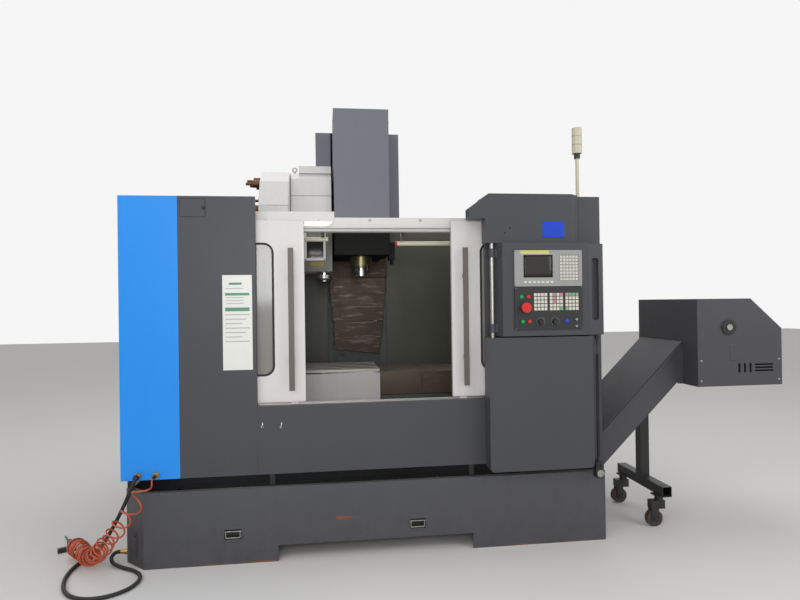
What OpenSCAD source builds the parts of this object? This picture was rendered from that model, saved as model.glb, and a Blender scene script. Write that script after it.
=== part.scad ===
// Vertical machining centre with an arm tool changer, a sheet-metal enclosure and a chip conveyor.
// Units are millimetres. X runs to the right, Y to the back, Z up from the floor.
// X = 0 is the spindle centreline and Y = 0 the front row of levelling feet.

/* [Enclosure] */
// Overall width of the enclosure front
front_w = 2680; // [2640:10:2760]
// Front panels before the front row of feet
front_out = 700; // [690:2:720]
// Height of the panel tops
panel_top = 1975; // [1960:5:1990]
// Height of the panel bottoms
panel_low = 464; // [458:1:472]
// Depth of the side walls
side_depth = 1600; // [1580:5:1640]
// Thickness of the outer sheets
sheet = 3; // [2:0.5:4]
// Depth of the panels' folded edges
fold = 26; // [22:1:28]
// Width of the coloured corner panel
corner_w = 303; // [280:1:320]
// Left panel's inner edge from the centreline
opening_l = 630; // [610:2:640]
// Right pillar's inner edge from the centreline
opening_r = 650; // [640:2:670]
// Height of the sill below the doors
sill_top = 835; // [825:1:845]
// Inner side walls from the centreline
inner_x = 1200; // [1190:2:1215]

/* [Doors] */
// Width of one door leaf
door_w = 670; // [660:2:680]
// Height of the door tops
door_top = 1850; // [1840:1:1856]
// Thickness of a door leaf
door_t = 30; // [26:1:32]
// How far the left door stands open
left_open = 370; // [340:5:380]
// How far the right door stands open
right_open = 461; // [430:5:480]
// Width of a door window
window_w = 360; // [320:5:380]
// Height of a door window
window_h = 724; // [680:4:740]
// Corner radius of a door window
window_r = 52; // [40:1:60]
// Window's distance from the leaf's inner edge
window_in = 170; // [160:2:180]
// Length of a door handle bar
handle_l = 780; // [700:10:800]
// Width of a door handle bar
handle_w = 30; // [26:1:34]

/* [Bed and column] */
// Width of the bed casting
bed_w = 900; // [880:10:920]
// Height of the bed's guideway face
bed_top = 560; // [550:2:570]
// Length of the bed behind the feet
bed_len = 1400; // [1380:5:1420]
// Column face behind the front feet
column_y = 740; // [736:1:750]
// Width of the column casting
column_w = 520; // [500:5:530]
// Height of the column top
column_top = 2300; // [2280:5:2320]
// Diameter of a levelling pad
pad_d = 130; // [110:5:150]

/* [Axes] */
// Table travel along X
travel_x = 800; // [780:5:800]
// Saddle travel along Y
travel_y = 500; // [480:5:500]
// Head travel along Z
travel_z = 500; // [480:5:500]
// Spindle axis behind the front feet
spindle_y = 190; // [186:1:194]
// Height of the table top
table_z = 950; // [944:1:956]
// Length of the table
table_l = 1000; // [980:5:1000]
// Width of the table
table_d = 500; // [480:5:500]
// Thickness of the table
table_t = 90; // [80:1:96]
// Width of a T-slot's neck
slot_w = 18; // [14:1:20]
// Distance between the T-slots
slot_pitch = 100; // [90:1:105]
// Width of a guide rail
rail_w = 45; // [40:1:50]
// Height of a guide rail
rail_h = 36; // [32:1:38]
// Diameter of the ball screws
screw_d = 40; // [32:1:44]

/* [Head and spindle] */
// Width of the head and its cover
head_w = 374; // [366:2:378]
// Height of the spindle nose with the head up
nose_z = 1576; // [1572:1:1580]
// Diameter of the spindle nose
nose_d = 96; // [92:1:100]
// Diameter of the spindle cartridge
cartridge_d = 150; // [144:2:156]
// Diameter of the spindle shaft
shaft_d = 70; // [64:1:74]
// Radial clearance of turning parts
running = 0.05; // [0.02:0.01:0.08]
// Height of the head cover's top
cover_top = 2700; // [2680:5:2720]

/* [Tool changer] */
// Number of tool pots on the drum
pots = 24; // [20:2:24]
// Radius of the circle of pots
pot_ring = 310; // [308:1:316]
// Diameter of a tool pot
pot_d = 70; // [66:1:72]
// Length of a tool pot
pot_l = 85; // [80:1:88]
// Changer arm's axis from the spindle
arm_r = 260; // [256:1:262]
// Thickness of the changer arm
arm_t = 22; // [20:1:24]
// Drop of the changer arm
arm_drop = 115; // [100:5:120]

/* [Operator station] */
// Left edge of the control box
box_x = 690; // [680:2:700]
// Width of the control box
box_w = 524; // [510:2:536]
// Underside of the control box
box_low = 1192; // [1186:1:1200]
// Top of the control box
box_top = 1713; // [1705:1:1720]
// Control box before the front panels
box_out = 110; // [100:2:120]
// Travel of a push button
press = 4; // [3:0.5:5]

/* [Tank and conveyor] */
// Height of the coolant tank
tank_h = 396; // [390:1:400]
// Tank before the front panels
tank_out = 25; // [20:1:30]
// Cut of the tank's left front corner
tank_cut = 119; // [100:1:130]
// Depth of the conveyor channel
channel_d = 480; // [460:5:490]
// Height of the conveyor channel
channel_h = 155; // [150:1:165]
// Slope of the conveyor's rising part
rise_angle = 45; // [44:0.5:46]
// Length of the discharge hood
hood_l = 542; // [520:2:560]
// Height of the hood
hood_h = 517; // [490:1:530]
// Diameter of a conveyor wheel
wheel_d = 100; // [90:2:110]

/* [Hidden] */
$fn = 48;

gap = 0.3;
pair = [-1, 1];
front_y = -front_out;
half_w = front_w / 2;
rear_y = front_y + side_depth;
grey = [0.33, 0.33, 0.36];
blue = [0, 0.45, 0.9];
white = [0.9, 0.9, 0.89];
olive = [0.34, 0.34, 0.3];
green = [0.28, 0.31, 0.3];
steel = [0.62, 0.62, 0.6];
dark = [0.1, 0.1, 0.11];

// Basic solids placed by their limits
module block(x0, x1, y0, y1, z0, z1) {
    translate([x0, y0, z0]) cube([x1 - x0, y1 - y0, z1 - z0]);
}
module rod_x(x0, x1, y, z, d) {
    translate([x0, y, z]) rotate([0, 90, 0]) cylinder(d = d, h = x1 - x0);
}
module rod_y(x, y0, y1, z, d) {
    translate([x, y1, z]) rotate([90, 0, 0]) cylinder(d = d, h = y1 - y0);
}
module rod_z(x, y, z0, z1, d) {
    translate([x, y, z0]) cylinder(d = d, h = z1 - z0);
}
// An outline in X and Z, carried along Y
module along_y(y0, y1) {
    translate([0, y1, 0]) rotate([90, 0, 0]) linear_extrude(y1 - y0) children();
}
// An outline in Y and Z, carried along X
module along_x(x0, x1) {
    translate([x0, 0, 0]) rotate([90, 0, 90]) linear_extrude(x1 - x0) children();
}
// An outline in X and Y, carried along Z
module along_z(z0, z1) {
    translate([0, 0, z0]) linear_extrude(z1 - z0) children();
}
// A rectangle with round corners between two opposite corners
module round_rect(x0, x1, y0, y1, r) {
    translate([x0 + r, y0]) square([x1 - x0 - 2 * r, y1 - y0]);
    translate([x0, y0 + r]) square([x1 - x0, y1 - y0 - 2 * r]);
    for (x = [x0 + r, x1 - r], y = [y0 + r, y1 - r]) translate([x, y]) circle(r);
}
module rect(x0, x1, y0, y1) {
    translate([x0, y0]) square([x1 - x0, y1 - y0]);
}
// A folded tray with its edges turned back
module tray(x0, x1, z0, z1, y, depth) {
    difference() {
        block(x0, x1, y, y + depth, z0, z1);
        block(x0 + sheet, x1 - sheet, y + sheet, y + depth + 1, z0 + sheet, z1 - sheet);
    }
}

// Bed, guides and drives

foot_h = 70;
foot_x = 380;
foot_rows = [0, 480, 960, 1300];
bed_low = foot_h;
bed_front = -90;
nose_y = -330;
nose_low = 400;
y_rail_x = 300;
screw_z = bed_top + 10;
trough_w = 180;
y_end_front = -262;
y_end_rear = 690;

module guide_rail_profile() {
    difference() {
        rect(-rail_w / 2, rail_w / 2, 0, rail_h);
        for (s = pair) translate([s * (rail_w / 2 + 4), rail_h * 0.55]) circle(8, $fn = 24);
    }
}
module servo(len, side) {
    block(-side / 2, side / 2, -side / 2, side / 2, 0, 14);
    translate([0, 0, 14 + gap]) block(-side * 0.46, side * 0.46, -side * 0.46, side * 0.46, 0, len - 60);
    translate([0, 0, len - 46 + 2 * gap]) block(-side * 0.38, side * 0.38, -side * 0.38, side * 0.38, 0, 60);
}
module bed() {
    color(green) difference() {
        union() {
            block(-bed_w / 2, bed_w / 2, bed_front, bed_len, bed_low, bed_top - 60);
            block(-bed_w / 2 + 60, bed_w / 2 - 60, nose_y, bed_len, nose_low, bed_top);
            block(-bed_w / 2 - 40, bed_w / 2 + 40, bed_front, bed_len, bed_low, bed_low + 60);
        }
        // screw trough and hollow underside
        block(-trough_w / 2, trough_w / 2, nose_y - 1, y_end_rear + 80, bed_top - 90, bed_top + 1);
        for (k = [0:2]) block(-foot_x + pad_d / 2 + 8, foot_x - pad_d / 2 - 8, foot_rows[k] + 70,
            foot_rows[k + 1] - 70, bed_low - 1, bed_top - 140);
        // side windows of the casting
        for (k = [0:2]) block(-bed_w, bed_w, foot_rows[k] + 90, foot_rows[k + 1] - 90, bed_low + 120,
            bed_top - 180);
    }
    color(steel) for (s = pair) translate([s * y_rail_x, 0, bed_top]) along_y(y_rail_0, y_rail_1)
        guide_rail_profile();
    color(green) for (y = [y_end_front - 25, y_end_rear - 25]) difference() {
        block(-trough_w / 2, trough_w / 2, y, y + 50, bed_top - 90, screw_z + 34);
        rod_y(0, y - 1, y + 51, screw_z, screw_d - 8 + 2 * running);
    }
    // saddle motor at the front of the bed
    color(dark) translate([0, nose_y, screw_z]) rotate([90, 0, 0]) servo(190, 130);
    color(green) difference() {
        block(-trough_w / 2, trough_w / 2, nose_y, nose_y + 20, bed_top - 90, screw_z + 30);
        rod_y(0, nose_y - 1, nose_y + 21, screw_z, screw_d + 8);
    }
}
module levelling_feet() {
    color(steel) for (x = [-foot_x, 0, foot_x], y = foot_rows) if (x != 0 || y < 1) {
        rod_z(x, y, 0, 22, pad_d);
        rod_z(x, y, 22, 46, 30);
        translate([x, y, 46]) cylinder(d = 62, h = foot_h - 46, $fn = 6);
    }
}
module y_screw() {
    color(steel) {
        rod_y(0, y_end_front + 26, y_end_rear - 26, screw_z, screw_d);
        rod_y(0, nose_y + 4, y_end_front + 26, screw_z, screw_d - 8);
        rod_y(0, y_end_rear - 26, y_end_rear + 40, screw_z, screw_d - 8);
        rod_y(0, y_end_rear + 27, y_end_rear + 40, screw_z, screw_d + 4);
    }
}

// Saddle and table

carriage_h = 44;
carriage_w = 96;
saddle_low = bed_top + carriage_h;
saddle_top = 770;
saddle_d = 460;
y_rail_0 = spindle_y - (travel_y + saddle_d) / 2 - 30;
y_rail_1 = spindle_y + (travel_y + saddle_d) / 2 + 30;
wing_x = 790;
x_rail_y = 170;
x_rail_z = saddle_top;
x_screw_z = saddle_top + 18;
table_low = table_z - table_t;
rest_x = -travel_x / 2;
cover_end = 1190;
cover_t = 2;
cover_top_z = table_z - 22;
cover_skirt_z = saddle_top + 4;
x_cover_d = 456;
saddle_y0 = spindle_y - saddle_d / 2;
saddle_y1 = spindle_y + saddle_d / 2;
apron_low = 700;
hood_high = apron_low - 10;

module carriage(len) {
    // a block that rides over a rail, along the profile's axis
    difference() {
        rect(-carriage_w / 2, carriage_w / 2, 6, carriage_h);
        rect(-rail_w / 2 - 0.6, rail_w / 2 + 0.6, 0, rail_h + 0.6);
    }
}
module saddle() {
    color(green) difference() {
        union() {
            block(-460, 460, saddle_y0, saddle_y1, saddle_low, saddle_top);
            along_y(saddle_y0 + 20, saddle_y1 - 20) polygon([[-460, saddle_low], [460, saddle_low],
                [wing_x, saddle_top - 70], [wing_x, saddle_top], [-wing_x, saddle_top],
                [-wing_x, saddle_top - 70]]);
        }
        // trough for the table screw and a channel for the saddle screw
        block(-wing_x + 120, wing_x - 120, spindle_y - 85, spindle_y + 85, saddle_top - 60, saddle_top + 1);
        block(-95, 95, saddle_y0 - 1, saddle_y1 + 1, saddle_low - 1, saddle_low + 40);
        for (s = pair) block(s * 360 - 70, s * 360 + 70, saddle_y0 + 60, spindle_y - 112, saddle_low - 1,
            saddle_low + 60);
    }
    color(steel) for (s = pair, y = [saddle_y0 + 10, saddle_y1 - 130])
        translate([s * y_rail_x, 0, bed_top]) along_y(y, y + 120) carriage();
    // nut on the saddle screw
    color(green) difference() {
        block(-70, 70, spindle_y - 60, spindle_y + 60, screw_z - 55, saddle_low + 40);
        rod_y(0, spindle_y - 61, spindle_y + 61, screw_z, screw_d + 2 * running);
    }
    color(steel) for (s = pair) translate([0, spindle_y + s * x_rail_y, x_rail_z])
        along_x(-wing_x + 10, wing_x - 10) guide_rail_profile();
    // bearing housings and motor of the table screw
    color(green) for (x = [-wing_x + 70, wing_x - 120]) difference() {
        block(x, x + 50, spindle_y - 60, spindle_y + 60, saddle_top, x_screw_z + 34);
        rod_x(x - 1, x + 51, spindle_y, x_screw_z, screw_d - 8 + 2 * running);
    }
    // fixed end hoods of the sliding covers
    color(steel) both_sides() {
        mirror([1, 0, 0]) x_hood(3);
        block(wing_x, cover_end, spindle_y - 140, spindle_y + 140, saddle_top - 60, saddle_top - 40);
        block(cover_end - 8, cover_end, spindle_y - 140, spindle_y + 140, saddle_top - 40, cover_top_z - 17);
    }
    // motor of the table screw under the left covers
    color(dark) translate([-wing_x, spindle_y, x_screw_z]) rotate([0, -90, 0]) servo(180, 116);
    // hood over the front guides
    color(steel) along_x(-380, 380) polygon([[saddle_y0, hood_high], [saddle_y0 - 300, hood_high - 36],
        [saddle_y0 - 300, hood_high - 40], [saddle_y0, hood_high - 4]]);
}
module both_sides() {
    children();
    mirror([1, 0, 0]) children();
}
// Hoods that slide over one another; hood 0 is the largest and rides with the table
x_seg = 284;
x_step = travel_x / 3;
cover_gap = 3;
module x_cover_shell(x0, x1, k, lip_x = 0) {
    s = k * (cover_t + cover_gap);
    y0 = spindle_y - x_cover_d / 2 + s;
    y1 = spindle_y + x_cover_d / 2 - s;
    top = cover_top_z - s;
    lip = cover_gap - gap;
    difference() {
        union() {
            block(x0, x1, y0, y1, cover_skirt_z, top);
            // outward lip that slides inside the next larger hood
            if (lip_x != 0) block(lip_x - 6, lip_x + 6, y0 - lip, y1 + lip, cover_skirt_z, top + lip);
        }
        block(x0 - 1, x1 + 1, y0 + cover_t, y1 - cover_t, cover_skirt_z - 1, top - cover_t);
    }
}
// hood k of the left row, with the table at the left
module x_hood(k) {
    x0 = 2 * (3 - k) - cover_end;
    x_cover_shell(x0, x0 + x_seg, k, x0 + x_seg - 8);
}
module table() {
    color(steel) translate([rest_x, 0, 0]) {
        difference() {
            block(-table_l / 2, table_l / 2, spindle_y - table_d / 2, spindle_y + table_d / 2, table_low,
                table_z);
            for (k = [-2:2]) translate([0, spindle_y + k * slot_pitch, 0]) {
                block(-table_l, table_l, -slot_w / 2, slot_w / 2, table_z - 20, table_z + 1);
                block(-table_l, table_l, -slot_w * 0.89, slot_w * 0.89, table_z - 32, table_z - 19);
            }
            block(-table_l / 2 + 60, table_l / 2 - 60, spindle_y - 110, spindle_y + 110, table_low - 1,
                table_low + 26);
        }
        for (s = pair, x = [-380, 260]) translate([0, spindle_y + s * x_rail_y, x_rail_z])
            along_x(x, x + 120) carriage();
        for (s = pair, x = [-380, 260]) block(x, x + 120, spindle_y + s * x_rail_y - 40,
            spindle_y + s * x_rail_y + 40, x_rail_z + carriage_h, table_low);
        // nut on the table screw
        difference() {
            block(-60, 60, spindle_y - 50, spindle_y + 50, x_screw_z - 42, table_low + 26);
            rod_x(-61, 61, spindle_y, x_screw_z, screw_d + 2 * running);
        }
    }
}

// White apron on the table's front and the largest hoods at its ends
module table_guard() {
    half = table_l / 2;
    apron_y = spindle_y - table_d / 2;
    color(white) translate([rest_x, 0, 0]) {
        block(-half, half, apron_y - sheet, apron_y, apron_low, table_z - 16);
        block(-half, half, apron_y - sheet, apron_y + 18, apron_low - sheet, apron_low);
    }
    color(steel) {
        x_cover_shell(rest_x + half, rest_x + half + x_seg, 0);
        x_cover_shell(rest_x - half - x_seg, rest_x - half, 0);
    }
}
module x_cover_left_1() {
    color(steel) x_hood(1);
}
module x_cover_left_2() {
    color(steel) x_hood(2);
}
module x_cover_right_1() {
    color(steel) translate([-2 * x_step, 0, 0]) mirror([1, 0, 0]) x_hood(1);
}
module x_cover_right_2() {
    color(steel) translate([-x_step, 0, 0]) mirror([1, 0, 0]) x_hood(2);
}
module x_screw() {
    color(steel) {
        rod_x(-wing_x + 122, wing_x - 122, spindle_y, x_screw_z, screw_d);
        rod_x(-wing_x + 18, -wing_x + 122, spindle_y, x_screw_z, screw_d - 8);
        rod_x(wing_x - 122, wing_x - 50, spindle_y, x_screw_z, screw_d - 8);
        rod_x(wing_x - 69, wing_x - 55, spindle_y, x_screw_z, screw_d - 6);
    }
}

// Column, head and spindle

z_rail_x = 130;
z_rail_1 = column_top - 20;
z_screw_y = column_y + 34;
z_plate_y = column_y - carriage_h;
column_d = bed_len - column_y - 20;
head_low = nose_z + 137;
z_rail_0 = head_low - travel_z - 133;
quill_low = nose_z + 68;
head_front = spindle_y - 170;
motor_z = 1900;
carriage_z = [head_low + 30, head_low + 330];
carriage_l = 130;

module column() {
    y0 = column_y;
    y1 = column_y + column_d;
    color(green) difference() {
        along_y(y0, y1) polygon([[-bed_w / 2 + 20, bed_top], [bed_w / 2 - 20, bed_top],
            [bed_w / 2 - 20, bed_top + 90], [column_w / 2, bed_top + 420], [column_w / 2, column_top],
            [-column_w / 2, column_top], [-column_w / 2, bed_top + 420], [-bed_w / 2 + 20, bed_top + 90]]);
        // recess for the Z screw, and the hollow of the casting
        block(-78, 78, y0 - 1, y0 + 90, z_rail_0 - 60, column_top - 60);
        rod_z(0, z_screw_y, column_top - 61, column_top + 1, screw_d + 8);
        block(-column_w / 2 + 50, column_w / 2 - 50, y0 + 140, y1 - 50, bed_top + 60, column_top - 60);
        // windows in the rear wall
        for (z = [800, 1300, 1800]) block(-150, 150, y1 - 60, y1 + 1, z, z + 320);
    }
    color(steel) for (s = pair) translate([s * z_rail_x, y0, 0]) rotate([0, 0, 180])
        along_z(z_rail_0, z_rail_1) guide_rail_profile();
    // bearings and motor of the Z screw
    color(green) for (z = [z_rail_0 - 50, column_top - 130]) difference() {
        block(-60, 60, z_screw_y - 32, y0 + 90, z, z + 50);
        rod_z(0, z_screw_y, z - 1, z + 51, screw_d - 8 + 2 * running);
    }
    color(dark) translate([0, z_screw_y + 18, column_top]) servo(300, 172);
    // lowest cover plate, fixed and bent askew
    color(steel) translate([z_cover_drift, 0, z_cover_fixed]) rotate([0, z_cover_tilt, 0]) z_plate(5);
    color(steel) for (s = pair) block(s * 80 - 15, s * 80 + 15, z_cover_front(5) + cover_t, column_y,
        z_cover_fixed - 20, z_cover_fixed + 20);
}
module z_screw() {
    color(steel) {
        rod_z(0, z_screw_y, z_rail_0 + 2, column_top - 132, screw_d);
        rod_z(0, z_screw_y, z_rail_0 - 50, z_rail_0 + 2, screw_d - 8);
        rod_z(0, z_screw_y, column_top - 132, column_top - 4, screw_d - 8);
        rod_z(0, z_screw_y, column_top - 79, column_top - 65, screw_d + 4);
    }
}
module head() {
    hw = head_w / 2;
    color(green) difference() {
        union() {
            block(-hw, hw, head_front, 470, head_low, motor_z);
            along_x(-168, 168) polygon([[469, head_low], [z_plate_y, head_low], [z_plate_y, head_low + 480],
                [z_plate_y - 60, head_low + 480], [469, motor_z]]);
            rod_z(0, spindle_y, motor_z, motor_z + 60, 250);
        }
        rod_z(0, spindle_y, head_low - 1, motor_z + 61, cartridge_d - 10 + 2 * running);
        // ribbed pockets in the flanks
        for (s = pair) block(s * hw - 12, s * hw + 12, 310, 450, head_low + 40, motor_z - 40);
    }
    color(steel) for (s = pair, z = carriage_z) translate([s * z_rail_x, column_y, 0])
        rotate([0, 0, 180]) along_z(z, z + carriage_l) z_carriage();
    // nut on the Z screw
    color(green) difference() {
        block(-52, 52, z_plate_y, z_screw_y + 46, head_low + 200, head_low + 300);
        rod_z(0, z_screw_y, head_low + 199, head_low + 301, screw_d + 2 * running);
    }
    // bracket with the coolant manifold on the right flank
    color(dark) block(hw, hw + 40, head_front + 60, head_front + 160, head_low - 30, head_low + 90);
    color(dark) for (y = [head_front + 80, head_front + 130])
        rod_z(hw + 22, y, head_low - 60, head_low - 30, 20);
    // spindle motor with its flange
    color(dark) {
        block(-125, 125, spindle_y - 125, spindle_y + 125, motor_z + 60, motor_z + 84);
        along_z(motor_z + 84, motor_z + 470)
            round_rect(-110, 110, spindle_y - 110, spindle_y + 110, 30);
        rod_z(0, spindle_y, motor_z + 470, motor_z + 560, 196);
    }
    // top plate of the Z cover hangs under the head
    color(steel) translate([0, 0, z_cover_top0]) z_plate(0);
}
module z_carriage() {
    difference() {
        rect(-38, 38, 10, carriage_h);
        rect(-rail_w / 2 - 0.6, rail_w / 2 + 0.6, 0, rail_h + 0.6);
    }
}
// The Z covers are channel plates, each inside the one above
z_cover_half = 225;
z_cover_y = 636;
z_plate_l = 130;
z_cover_tilt = 7;
z_cover_top0 = head_low - z_plate_l / 2;
z_cover_fixed = 1075;
z_cover_drift = -8;
// middle heights of the plates at rest
z_cover_rest = [1521, 1429, 1313, 1195];
z_space = 6;
function z_cover_front(k) = z_cover_y + k * (cover_t + z_space);
module z_plate(k) {
    half = z_cover_half - k * (cover_t + 7);
    y0 = z_cover_front(k);
    tall = z_plate_l / 2;
    difference() {
        block(-half, half, y0, column_y - 6, -tall, tall);
        block(-half + cover_t, half - cover_t, y0 + cover_t, column_y, -tall - 1, tall + 1);
    }
    // folded lip that slides on the plate above
    if (k > 0) block(-half, half, y0 - z_space + gap, y0, tall - 2, tall);
}
module z_cover_1() {
    color(steel) translate([0, 0, z_cover_rest[0]]) z_plate(1);
}
module z_cover_2() {
    color(steel) translate([0, 0, z_cover_rest[1]]) z_plate(2);
}
module z_cover_3() {
    color(steel) translate([0, 0, z_cover_rest[2]]) z_plate(3);
}
module z_cover_4() {
    color(steel) translate([0, 0, z_cover_rest[3]]) rotate([0, z_cover_tilt, 0]) z_plate(4);
}
module spindle_cartridge() {
    z1 = motor_z + 60;
    color(steel) difference() {
        union() {
            rod_z(0, spindle_y, quill_low, head_low, cartridge_d);
            rod_z(0, spindle_y, head_low, z1, cartridge_d - 10);
            rod_z(0, spindle_y, quill_low - 14, quill_low, nose_d + 24);
        }
        rod_z(0, spindle_y, quill_low - 15, z1 + 1, shaft_d + 2 * running);
        for (a = [30:60:330]) translate([0, spindle_y, 0]) rotate([0, 0, a])
            rod_z(cartridge_d / 2 - 9, 0, quill_low - 1, quill_low + 10, 8);
    }
    // jointed coolant nozzles round the nose
    color(dark) for (a = [-50, 230]) translate([0, spindle_y, 0]) rotate([0, 0, a]) {
        rod_z(cartridge_d / 2 - 12, 0, quill_low - 34, quill_low, 18);
        translate([cartridge_d / 2 - 12, 0, quill_low - 28]) rotate([0, 200, 0])
            cylinder(d1 = 15, d2 = 7, h = 34);
    }
}
module spindle_shaft() {
    color(steel) translate([0, spindle_y, 0]) difference() {
        union() {
            rod_z(0, 0, quill_low - 14 - gap, motor_z + 56, shaft_d);
            rod_z(0, 0, nose_z, nose_z + 40, nose_d);
            rod_z(0, 0, nose_z + 40, quill_low - 14 - gap, nose_d - 10);
        }
        // tapered seat and the bore of the drawbar
        translate([0, 0, nose_z - 0.01]) cylinder(d1 = 44.45, d2 = 25.5, h = 65);
        rod_z(0, 0, nose_z + 60, motor_z + 57, 20);
        // driving key slots
        block(-nose_d, nose_d, -8, 8, nose_z - 1, nose_z + 6);
    }
    color(steel) for (s = pair) translate([s * 36, spindle_y, 0]) block(-9, 9, -8, 8, nose_z, nose_z + 6);
}
module head_cover() {
    hw = head_w / 2;
    z0 = motor_z;
    color(grey) {
        difference() {
            block(-hw, hw, head_front, 455, z0, cover_top);
            block(-hw + sheet, hw - sheet, head_front + sheet, 456, z0 - 1, cover_top - sheet);
        }
        // side return strips with their screws
        for (s = pair, z = [2250, 2450, 2620]) rod_x(s > 0 ? hw : -hw - 4, s > 0 ? hw + 4 : -hw,
            head_front + 30, z, 12);
    }
}
module column_cover() {
    cw = 310;
    y0 = 465;
    y1 = column_y + column_d + 20;
    z0 = panel_top + 5;
    z1 = 2655;
    color(grey) difference() {
        block(-cw, cw, y0, y1, z0, z1);
        block(-cw + sheet, cw - sheet, y0 + sheet, y1 - sheet, z0 - 1, z1 - sheet);
        // slot for the moving head
        block(-head_w / 2 - 12, head_w / 2 + 12, y0 - 1, y0 + sheet + 1, z0 - 1, z1 - sheet);
    }
    // feet that carry the cover on the column
    color(grey) both_sides() for (y = [column_y + 60, y1 - 140])
        block(column_w / 2, cw - sheet, y, y + 50, z0 + 20, z0 + 26);
}

// Tool changer

pin_x = 9;
pivot_r = 265;
pot_drop = pot_ring - pivot_r;
drum_x = -2 * arm_r - pot_drop + pin_x;
drum_z = nose_z + pot_l - pin_x + pivot_r;
disc_r = pivot_r - 12;
hub_l = 130;
arm_z = nose_z - 4 - arm_t;
gear_x0 = -475;
gear_x1 = -204;
gear_y = spindle_y - 125;
gear_d = 385;
gear_low = nose_z + 28;
shaft_top = gear_low + arm_drop + 85;
gear_mid = 1912;
gear_top = 2275;
cover_r = pot_ring + 50;
plate_t = 4;
plate_x = gear_x0 - 4;
cover_x0 = -665;
pin_d = 10;

module pot_body() {
    // a pot along -X from its pivot, with its ear and pin
    difference() {
        union() {
            rod_x(-pot_l, 0, 0, -pot_drop, pot_d);
            block(-pin_x - 7, -pin_x + 7, -10, 10, -pot_drop, 8);
        }
        translate([-pot_l - 0.01, 0, -pot_drop]) rotate([0, 90, 0]) cylinder(d1 = 46, d2 = 27, h = 60);
    }
    rod_y(-pin_x, -22, 22, 0, pin_d);
}
module tool_holder() {
    translate([0, 0, -pot_drop]) {
        rod_x(-pot_l - 26, -pot_l - gap, 0, 0, 63);
        rod_x(-pot_l - 80, -pot_l - 26, 0, 0, 50);
        rod_x(-pot_l - 124, -pot_l - 80, 0, 0, 20);
    }
}
module drum_fork() {
    for (s = pair) difference() {
        block(-2 * pin_x, 0, s > 0 ? 12 : -20, s > 0 ? 20 : -12, -7, 30);
        rod_y(-pin_x, -21, 21, 0, pin_d + 2 * running);
    }
}
module magazine_drum() {
    translate([drum_x, spindle_y, drum_z]) {
        color(steel) difference() {
            union() {
                rod_x(0, 15, 0, 0, 2 * disc_r);
                rod_x(15, hub_l, 0, 0, 70);
            }
            for (a = [15:60:315]) rotate([a, 0, 0]) rod_x(-1, 16, 0, 150, 90);
        }
        // every pot except the one at the change place
        for (i = [0:pots - 1]) rotate([i * 360 / pots, 0, 0]) translate([0, 0, -pivot_r]) {
            color(steel) drum_fork();
            if (i > 0) color(dark) pot_body();
        }
        color(steel) for (i = [3, 5, 8, 9, 11, 13, 14, 17, 20]) rotate([i * 360 / pots, 0, 0])
            translate([0, 0, -pivot_r]) tool_holder();
    }
}
module change_pot() {
    translate([drum_x, spindle_y, drum_z - pivot_r]) {
        color(dark) pot_body();
        color(steel) tool_holder();
    }
}
// Folded sheets round the pots, open below and to the rear, with a plate on the right
module drum_cover() {
    low = -200;
    x1 = plate_x - plate_t - gap;
    half = tan(15) * (cover_r - sheet) - gap;
    for (a = [-60:30:60]) rotate([a, 0, 0]) block(cover_x0, x1, -half, half, cover_r - sheet, cover_r);
    block(cover_x0, x1, -cover_r, sheet - cover_r, low, half);
    along_x(plate_x - plate_t, plate_x) difference() {
        intersection() {
            union() {
                rotate(15) circle(cover_r / cos(15), $fn = 12);
                rect(-cover_r, cover_r, low, 0);
            }
            rect(-cover_r, cover_r, low, cover_r);
        }
        circle(45);
    }
}
module changer_housing() {
    y0 = gear_y;
    y1 = y0 + gear_d;
    // gearbox with the cam drive, shaped by its white covers
    color(white) {
        difference() {
            union() {
                along_x(gear_x0, gear_x1) polygon([[y0, gear_mid], [y0, gear_top - 45],
                    [y0 + 50, gear_top], [y1, gear_top], [y1, gear_mid]]);
                block(gear_x0 + 55, gear_x1, y0 + 30, y0 + 300, gear_top, gear_top + 48);
                block(gear_x0 + 65, gear_x1, y0 + 12, y1 - 25, gear_low, gear_mid);
            }
            rod_z(-arm_r, spindle_y, gear_low - 1, shaft_top + 10, 70 + 2 * running);
            rod_x(gear_x0 - 1, drum_x + hub_l + 5, spindle_y, drum_z, 70 + 2 * running);
            block(gear_x0 - 1, gear_x1 + 1, y0 - 1, y0 + 6, 2112, 2118);
        }
        // spacers between the drum cover and the gearbox
        for (s = pair) rod_x(plate_x + gap, gear_x0 - gap, spindle_y + s * 90, drum_z + 120, 40);
        translate([0, spindle_y, drum_z]) drum_cover();
    }
    // olive plate before the arm shaft, with a framed window
    color(olive) difference() {
        block(gear_x0 - 5, gear_x1 + 2, y0, y0 + 12, gear_low, gear_mid);
        along_y(y0 - 1, y0 + 5) round_rect(-378, -258, 1690, 1890, 6);
    }
    color(white) difference() {
        along_y(y0 - 6, y0) round_rect(-390, -246, 1678, 1902, 6);
        along_y(y0 - 7, y0 + 1) round_rect(-374, -262, 1694, 1886, 6);
    }
    // bracket to the flank of the column
    color(green) {
        block(bracket_x0, bracket_x1, y1 - 25, column_y + 150, bracket_low, bracket_low + 200);
        block(bracket_x1, -column_w / 2, column_y + 30, column_y + 150, bracket_low, bracket_low + 200);
    }
    // lifting eye on the gearbox
    color(steel) {
        rod_z(gear_x0 + 23, y0 + 120, gear_top, gear_top + 25, 14);
        translate([gear_x0 + 23, y0 + 120, gear_top + 39]) rotate([90, 0, 0]) rotate_extrude()
            translate([14, 0]) circle(5, $fn = 16);
    }
}
bracket_x0 = -400;
bracket_x1 = -330;
bracket_low = 1700;
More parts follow.
